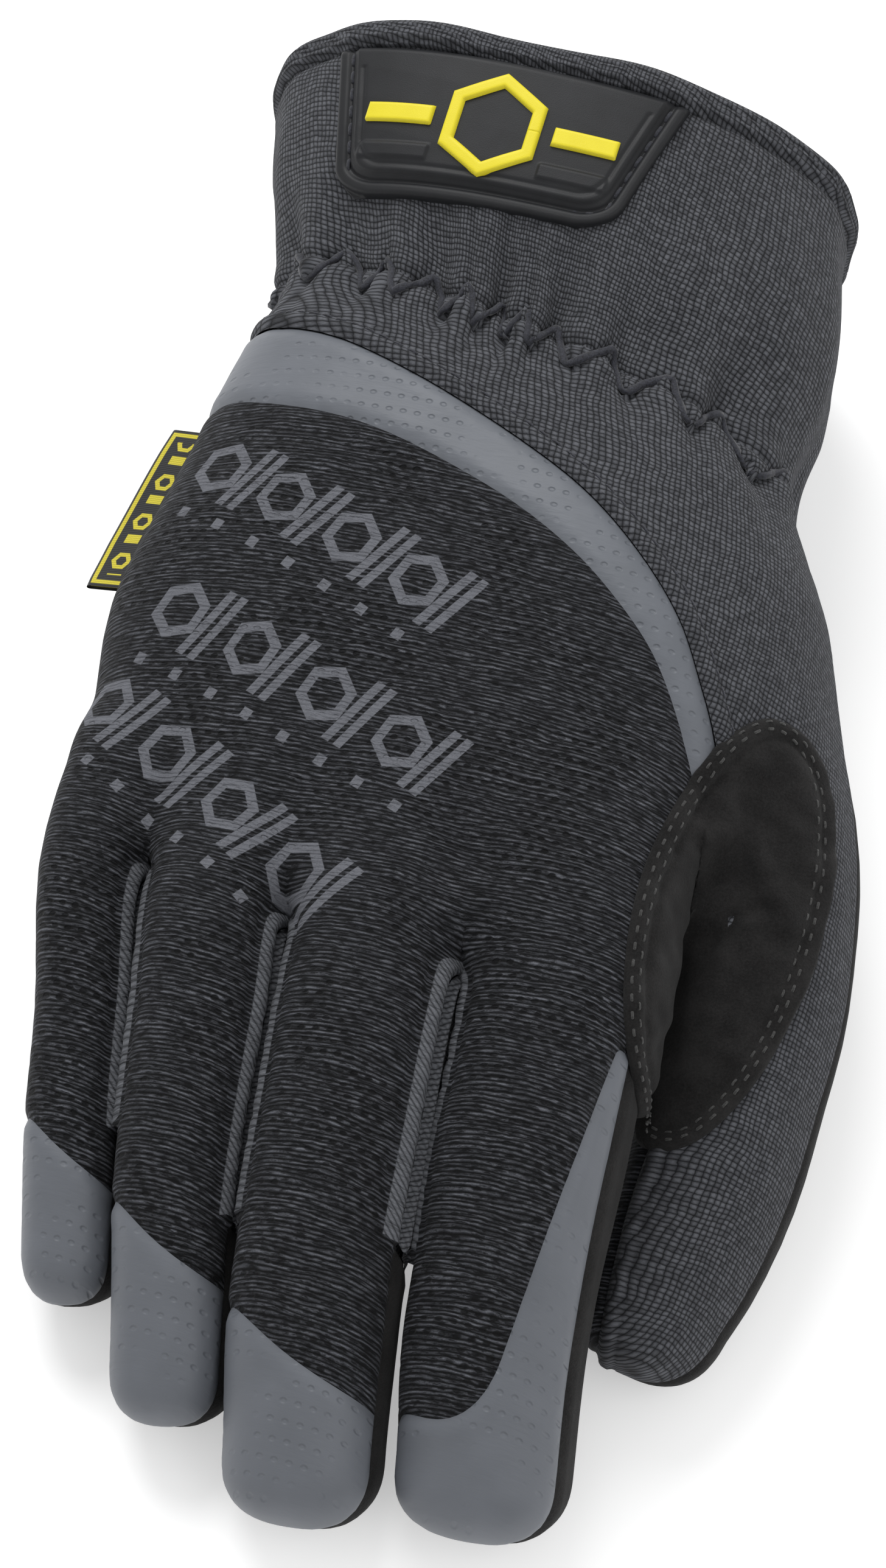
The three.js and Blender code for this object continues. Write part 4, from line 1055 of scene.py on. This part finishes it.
panels = {name: panel(name) for name in LOOK}


def tree_of(names):
    points, faces, start = [], [], 0
    for name in names:
        skin, outer = panels[name]
        points.append(outer)
        faces.append(skin.f + start)
        start += len(outer)
    return BVHTree.FromPolygons(np.concatenate(points).tolist(), np.concatenate(faces).tolist())


# The oval patch at the thumb
def patch_share(p):
    """Nought at the middle of the oval patch, one on its border."""
    across, along = turned(p[:, 0] - SADDLE["x"], p[:, 1] - SADDLE["y"], SADDLE["lean"])
    deep = np.maximum(0, SADDLE["z"] - SADDLE["depth"] - p[:, 2]) / 6
    return np.hypot(across / SADDLE["across"], along / SADDLE["along"]) + deep


def ridge(p, line, width):
    """Height share of a soft ridge along a short line of places in plan."""
    return bell(line_distance(p, *zip(*line))[0], 0, width)


# The ridge and the tuck in the patch: height, width and line in plan of each
PATCH_LINES = [(1.3, 2.0, [(42.5, -10.5), (46.5, -7.5), (51, -9.0), (54.5, -14.5), (57.5, -20.5)]),
               (-0.9, 1.5, [(54.5, -18.5), (50.5, -20.0), (47, -25.5)])]
PATCH_HOLE = {"x": 49.3, "y": -20.2, "depth": 0.7, "area": 0.9}
PATCH_RISE = 1.7
PATCH_ROUND = 0.9
patch = Surface(CELL, surface.p.copy(), surface.finger, surface.f[labels != ""])
patch.m["patch"] = (1 - patch_share(patch.p)) * SADDLE["across"]
patch.cut("patch")
patch_faces = patch.f[patch.m["patch"][patch.f].sum(1) > 0]
patch_skin = skin_of("thumb_saddle", patch.p, vertex_normals(patch.p, patch.f), patch_faces)
q, d = patch_skin.p, patch_skin.seam
height = PATCH_RISE * np.sqrt(np.clip(d / PATCH_ROUND, 0.02, 1)) + 0.25 * smoothstep(d, 3.2, 6)
height += ridges("patch", d) + sum(rise * ridge(q, line, width) for rise, width, line in PATCH_LINES)
off_hole = (q[:, 0] - PATCH_HOLE["x"]) ** 2 + (q[:, 1] - PATCH_HOLE["y"]) ** 2
height += relief(q) * 0.6 + swell("patch", q) - PATCH_HOLE["depth"] * np.exp(-off_hole / PATCH_HOLE["area"])
height = np.maximum(height, np.minimum(0.75, 0.3 + d))
patch_outer = q + patch_skin.n * height[:, None]
patch_inner = q + patch_skin.n * -0.3
faces = np.concatenate([patch_skin.f, patch_skin.f[:, ::-1] + len(q), wall(patch_skin.rim, len(q))])
make_object("v_thumb_saddle", np.concatenate([patch_outer, patch_inner]), faces, SUEDE,
            ["thumb_saddle"])


# Stitches
def sweep(points, normals, radius, closed=False, flat=0.6, sides=6):
    """A thread along a row of points, flattened against the cloth."""
    p, up = np.asarray(points, float), unit(np.asarray(normals, float))
    count = len(p)
    i = np.arange(count)
    if closed:
        way = unit(p[(i + 1) % count] - p[(i - 1) % count])
    else:
        way = unit(p[np.minimum(i + 1, count - 1)] - p[np.maximum(i - 1, 0)])
    side = unit(np.cross(way, up))
    up = np.cross(side, way)
    t = np.arange(sides) * 2 * math.pi / sides
    ring = radius * (np.cos(t)[:, None, None] * side[None] + flat * np.sin(t)[:, None, None] * up[None])
    rows = (p[None] + ring).transpose(1, 0, 2).reshape(-1, 3)
    faces = []
    for k in range(count if closed else count - 1):
        m = (k + 1) % count
        for j in range(sides):
            j2 = (j + 1) % sides
            faces.append([k * sides + j, k * sides + j2, m * sides + j2, m * sides + j])
    if not closed:
        faces += [list(range(sides))[::-1], [(count - 1) * sides + j for j in range(sides)]]
    return rows, faces


# Length, gap and radius of each kind of stitch
PATCH_STITCH = (1.2, 1.5, 0.22)
ARC_STITCH = (2.1, 0.9, 0.26)
BADGE_STITCH = (2.2, 1.0, 0.36)
ZIGZAG_RADIUS = 0.75


def stitch_run(name, path, normals, stitch, material):
    """Separate short stitches along a path, as one mesh."""
    length, gap, radius = stitch
    path, normals = np.asarray(path), np.asarray(normals)
    run = np.concatenate([[0], np.cumsum(np.linalg.norm(np.diff(path, axis=0), axis=1))])
    points, faces = [], []
    for at in np.arange(0.4, run[-1] - length, length + gap):
        s = at + length * np.array([0, 0.12, 0.35, 0.65, 0.88, 1.0])
        centre, up = (np.stack([np.interp(s, run, a[:, k]) for k in range(3)], 1) for a in (path, normals))
        centre = centre + unit(up) * (radius * np.array([-0.7, 0.15, 0.45, 0.45, 0.15, -0.7]))[:, None]
        rows, quads = sweep(centre, up, radius)
        start = sum(map(len, points))
        points.append(rows)
        faces += [[v + start for v in quad] for quad in quads]
    return make_object(name, np.concatenate(points), faces, material)


def cast(tree, starts, ways, side):
    """Where rays meet a surface, and its normals there: along the rays for side 1, against them for -1."""
    points, ups = [], []
    for start, way in zip(starts, ways):
        hit, up, _index, _distance = tree.ray_cast(Vector(start), Vector(way))
        if hit is not None:
            points.append(tuple(hit))
            ups.append(tuple(up if up.dot(Vector(way)) * side > 0 else -up))
    return np.array(points), np.array(ups)


def drop_on(tree, xy):
    return cast(tree, [(x, y, ABOVE_ALL) for x, y in xy], [(0, 0, -1)] * len(xy), -1)


patch_tree = BVHTree.FromPolygons(patch_outer.tolist(), patch_skin.f.tolist())
for row, inset in (("outer", 1.35), ("inner", 2.6)):
    t = np.linspace(0, 2 * math.pi, 260)
    along, across = (SADDLE["along"] - inset) * np.sin(t), (SADDLE["across"] - inset) * np.cos(t)
    dx, dy = turned(across, along, -SADDLE["lean"])
    path, ups = drop_on(patch_tree, np.stack([SADDLE["x"] + dx, SADDLE["y"] + dy], 1))
    stitch_run("v_patch_stitches_" + row, path, ups, PATCH_STITCH, PALE_THREAD)

seam_tree = tree_of(["knit_back", "knuckle_band", "cuff", "back_panel"])
arc_x, arc_y = smooth_line(ARC, 8)
beside = unit(np.stack([-np.gradient(arc_y), np.gradient(arc_x)], 1))
xy = np.stack([arc_x, arc_y], 1) + beside * ARC_STITCH_IN
path, ups = drop_on(seam_tree, xy[(xy[:, 0] > -55) & (xy[:, 1] > -14)])
stitch_run("v_arc_stitches", path, ups, ARC_STITCH, DARK_THREAD)

# The elastic's zigzag thread goes round the wrist over the folds that it draws in
round_tree = tree_of(["knit_back", "cuff", "palm_panel"])
at = 4 * WRIST_ROW
t = np.linspace(-math.pi, math.pi, PUCKERS * 14, endpoint=False)[:, None]
starts = hand.c[at] - hand.forward[at] * zigzag(pucker_turns(t))
path, ups = cast(round_tree, starts, hand.up[at] * np.cos(t) + hand.side[at] * np.sin(t), 1)
path = path + ups * ZIGZAG["lift"]
path = (np.roll(path, 1, 0) + 2 * path + np.roll(path, -1, 0)) / 4
rows, quads = sweep(path, ups, ZIGZAG_RADIUS, closed=True, flat=0.7)
make_object("v_elastic_zigzag", rows, quads, DARK_THREAD)


# The badge, its emblem and the side label
def leave_hand(points, inner, outer, steps):
    """The last value inside the plain hand, between one inside it and one outside it."""
    for _ in range(steps):
        middle = (inner + outer) / 2
        inside = hand.locate(points(middle))["d"] < 0
        inner, outer = np.where(inside, middle, inner), np.where(inside, outer, middle)
    return inner


def cuff_top(x, y):
    """Height of the plain cuff over places in plan."""
    return leave_hand(lambda z: np.stack([x, y, z], 1), np.full(len(x), 20.0), np.full(len(x), 90.0), 22)


def cuff_normal(x, y):
    dx = (cuff_top(x + 1, y) - cuff_top(x - 1, y)) / 2
    dy = (cuff_top(x, y + 1) - cuff_top(x, y - 1)) / 2
    return unit(np.stack([-dx, -dy, np.ones(len(x))], 1))


def on_badge(u, v):
    """Places in plan for u across the badge and v up it."""
    dx, dy = turned(u, v, -BADGE["turn"])
    return np.stack([BADGE["x"] + dx, BADGE["y"] + dy], 1)


def badge_half(t):
    """Half the badge's width, from its foot at nought to its top at one."""
    return BADGE["width"] / 2 * (BADGE["foot"] + (1 - BADGE["foot"]) * t)


def grid_faces(i):
    return np.stack([i[:-1, :-1], i[:-1, 1:], i[1:, 1:], i[1:, :-1]], -1).reshape(-1, 4)


def grid(cols, rows):
    return np.meshgrid(np.linspace(0, 1, cols), np.linspace(0, 1, rows))


def bent_plate(name, u, v, lift, material, node):
    """A grid of the badge's own plane (u across, v up) bent over the cuff, with a skirt round it."""
    flat = on_badge(u.ravel(), v.ravel())
    flat[:, 1] -= np.maximum(0, mouth_plane(flat) + HEM_WIDTH - 1.0)
    x, y = flat.T
    base = np.column_stack([flat, cuff_top(x, y)])
    up = cuff_normal(x, y)
    under_hem = smoothstep(-(mouth_plane(flat) + HEM_WIDTH), -0.6, 1.8)
    top = base + up * (lift.ravel() * (0.25 + 0.75 * under_hem))[:, None]
    i = np.arange(u.size).reshape(u.shape)
    border = np.concatenate([i[0, :], i[1:, -1], i[-1, -2::-1], i[-2:0:-1, 0]])
    low = np.arange(len(border)) + u.size
    skirt = np.stack([np.roll(border, -1), border, low, np.roll(low, -1)], 1)
    points = np.concatenate([top, (base - up * 0.4)[border]])
    return make_object(name, points, np.concatenate([grid_faces(i), skirt]), material, [node])


s, t = grid(210, 92)
low = np.maximum(0, 0.2 - t) / 0.2
half = badge_half(t) * (1 - 0.13 * low ** 2)
u, v = (2 * s - 1) * half, (t - 0.5) * BADGE["height"]
edge = np.maximum(blend_min((1 - np.abs(2 * s - 1)) * half, t * BADGE["height"], 4.0), 0)
lift = 1.75 * np.sqrt(1 - (1 - np.minimum(edge / 0.9, 1)) ** 2)
lift += 0.75 * smoothstep(edge, 3.3, 4.0) + ridges("badge", edge)
lift += 0.4 * smoothstep(np.abs(v + 5.2), 1.5, 1.0) * smoothstep(np.abs(np.abs(u) - 15), 6.0, 5.4)
lift += ridges("badge_frame", edge) * (v < 9)
bent_plate("v_rubber_badge", u, v, lift, RUBBER, "rubber_badge")

# The badge's stitches go down its left side, round two corners and up its right side
t = np.linspace(0.99, 0.2, 60)
side_line = np.stack([badge_half(t) - BADGE["groove"], (t - 0.5) * BADGE["height"]], 1)
foot, corner = side_line[-1], np.linspace(0, math.pi / 2, 14)
radius = foot[1] + BADGE["height"] / 2 - BADGE["groove"]
round_foot = np.stack([foot[0] - radius * (1 - np.cos(corner)), foot[1] - radius * np.sin(corner)], 1)
half_loop = np.concatenate([side_line, round_foot[1:]])
loop = np.concatenate([half_loop * [-1, 1], half_loop[::-1]])
flat = on_badge(*loop.T)
flat = flat[mouth_plane(flat) + HEM_WIDTH < -0.5]
ups = cuff_normal(*flat.T)
path = np.column_stack([flat, cuff_top(*flat.T)]) + ups * 1.15
stitch_run("v_badge_stitches", path, ups, BADGE_STITCH, DARK_THREAD)


def emblem(name, u, v, across):
    """A raised mark with rounded edges: "across" is each grid row's distance in from the mark's edge."""
    lift = 2.35 + 0.95 * np.sqrt(1 - (1 - np.minimum(across / 0.5, 1)) ** 2)
    bent_plate("v_" + name, u, v, lift, EMBLEM, name)


RING = {"inner": 5.6, "band": 2.4}
BAR = {"at": 15.5, "length": 11, "width": 3.4}
s, t = grid(145, 9)
a = s * 2 * math.pi
reach = (RING["inner"] + RING["band"] * t) / np.cos(((a + math.pi / 6) % (math.pi / 3)) - math.pi / 6)
emblem("badge_ring", reach * np.cos(a), 1 - reach * np.sin(a), RING["band"] * np.minimum(t, 1 - t))
s, t = grid(45, 15)
for side, name in ((-1, "badge_bar_left"), (1, "badge_bar_right")):
    emblem(name, side * BAR["at"] + (s - 0.5) * BAR["length"], 1 + (t - 0.5) * BAR["width"],
           np.minimum(BAR["length"] * np.minimum(s, 1 - s), BAR["width"] * np.minimum(t, 1 - t)))

k, t = grid(37, 61)
root_y, root_z = LABEL["y"] + (0.5 - t) * LABEL["length"], LABEL["z"] - 3 * t
root_x = leave_hand(lambda x: np.stack([x, root_y.ravel(), root_z.ravel()], 1),
                    np.full(t.size, -20.0), np.full(t.size, -90.0), 24).reshape(t.shape)
# The tab's profile: out along its underside, round the fold and back along its top
lap = (k - 0.5) * 2
bend = lap / LABEL["fold"] * math.pi / 2
straight = LABEL["reach"] - 0.6
is_flat = np.abs(lap) > LABEL["fold"]
flat_part = straight * (1 - (np.abs(lap) - LABEL["fold"]) / (1 - LABEL["fold"]))
out_by = np.where(is_flat, flat_part, straight + 0.6 * np.cos(bend))
level = np.where(is_flat, np.sign(lap), np.sin(bend)) * LABEL["thick"] / 2
bow = 0.5 * np.sin(t * 5.1 + 0.6) * out_by / LABEL["reach"]
tab_z = root_z - out_by * 0.25 + LABEL["thick"] / 2 + level + bow
tab = np.stack([root_x - out_by + 0.4, root_y + out_by * 0.1, tab_z], -1).reshape(-1, 3)
woven = np.stack([(t * LABEL["length"]).ravel(), out_by.ravel(), np.zeros(t.size)], 1)
make_object("v_side_label", tab, grid_faces(np.arange(t.size).reshape(t.shape).T), LABEL_CLOTH,
            ["side_label"], {"cloth": woven})


# Stage, light and camera
CAMERA = {"azimuth": 9.5, "elevation": 63.5, "distance": 0.7045, "height": 0.03, "lens": 100, "sensor": 36}
WORLD_LIGHT = 0.6
FLOOR_GLOW = 0.4
LIGHT_TARGET = Vector((0, 0, 0.02))
# Name, place, size and power of each light
LIGHTS = [("key", (-0.35, 0.7, 0.9), 0.7, 8.0), ("fill", (0.7, -0.3, 0.8), 0.9, 2.0)]

for name, place, size, power in LIGHTS:
    data = bpy.data.lights.new(name, "AREA")
    data.shape = "DISK"
    data.size = size
    data.energy = power
    light = add_object(name, data)
    light.location = place
    light.rotation_euler = (LIGHT_TARGET - Vector(place)).to_track_quat("-Z", "Y").to_euler()

floor_mesh = bpy.data.meshes.new("floor")
floor_corners = [(x, y, -0.0004) for x, y in ((-4, -4), (4, -4), (4, 4), (-4, 4))]
floor_mesh.from_pydata(floor_corners, [], [(0, 1, 2, 3)])
floor = add_object("floor", floor_mesh)
floor_mesh.materials.append(Shader("floor_white").finish(
    (0.86, 0.86, 0.86), 0.9, Emission_Color=(1, 1, 1), Emission_Strength=FLOOR_GLOW))

world = bpy.data.worlds.new("studio")
bpy.context.scene.world = world
world.use_nodes = True
world.node_tree.nodes["Background"].inputs["Color"].default_value = (1, 1, 1, 1)
world.node_tree.nodes["Background"].inputs["Strength"].default_value = WORLD_LIGHT

azimuth, elevation = math.radians(CAMERA["azimuth"]), math.radians(CAMERA["elevation"])
back = Vector((math.sin(azimuth) * math.cos(elevation), -math.cos(azimuth) * math.cos(elevation),
               math.sin(elevation)))
camera_data = bpy.data.cameras.new("camera")
camera_data.lens = CAMERA["lens"]
camera_data.sensor_width = CAMERA["sensor"]
camera_data.clip_start = 0.01
camera = add_object("camera", camera_data)
target = Vector((SHIFT[0] / 1000, SHIFT[1] / 1000, CAMERA["height"]))
camera.location = target + back * CAMERA["distance"]
camera.rotation_euler = back.to_track_quat("Z", "Y").to_euler()
bpy.context.scene.camera = camera
bpy.context.scene.view_settings.view_transform = "Standard"
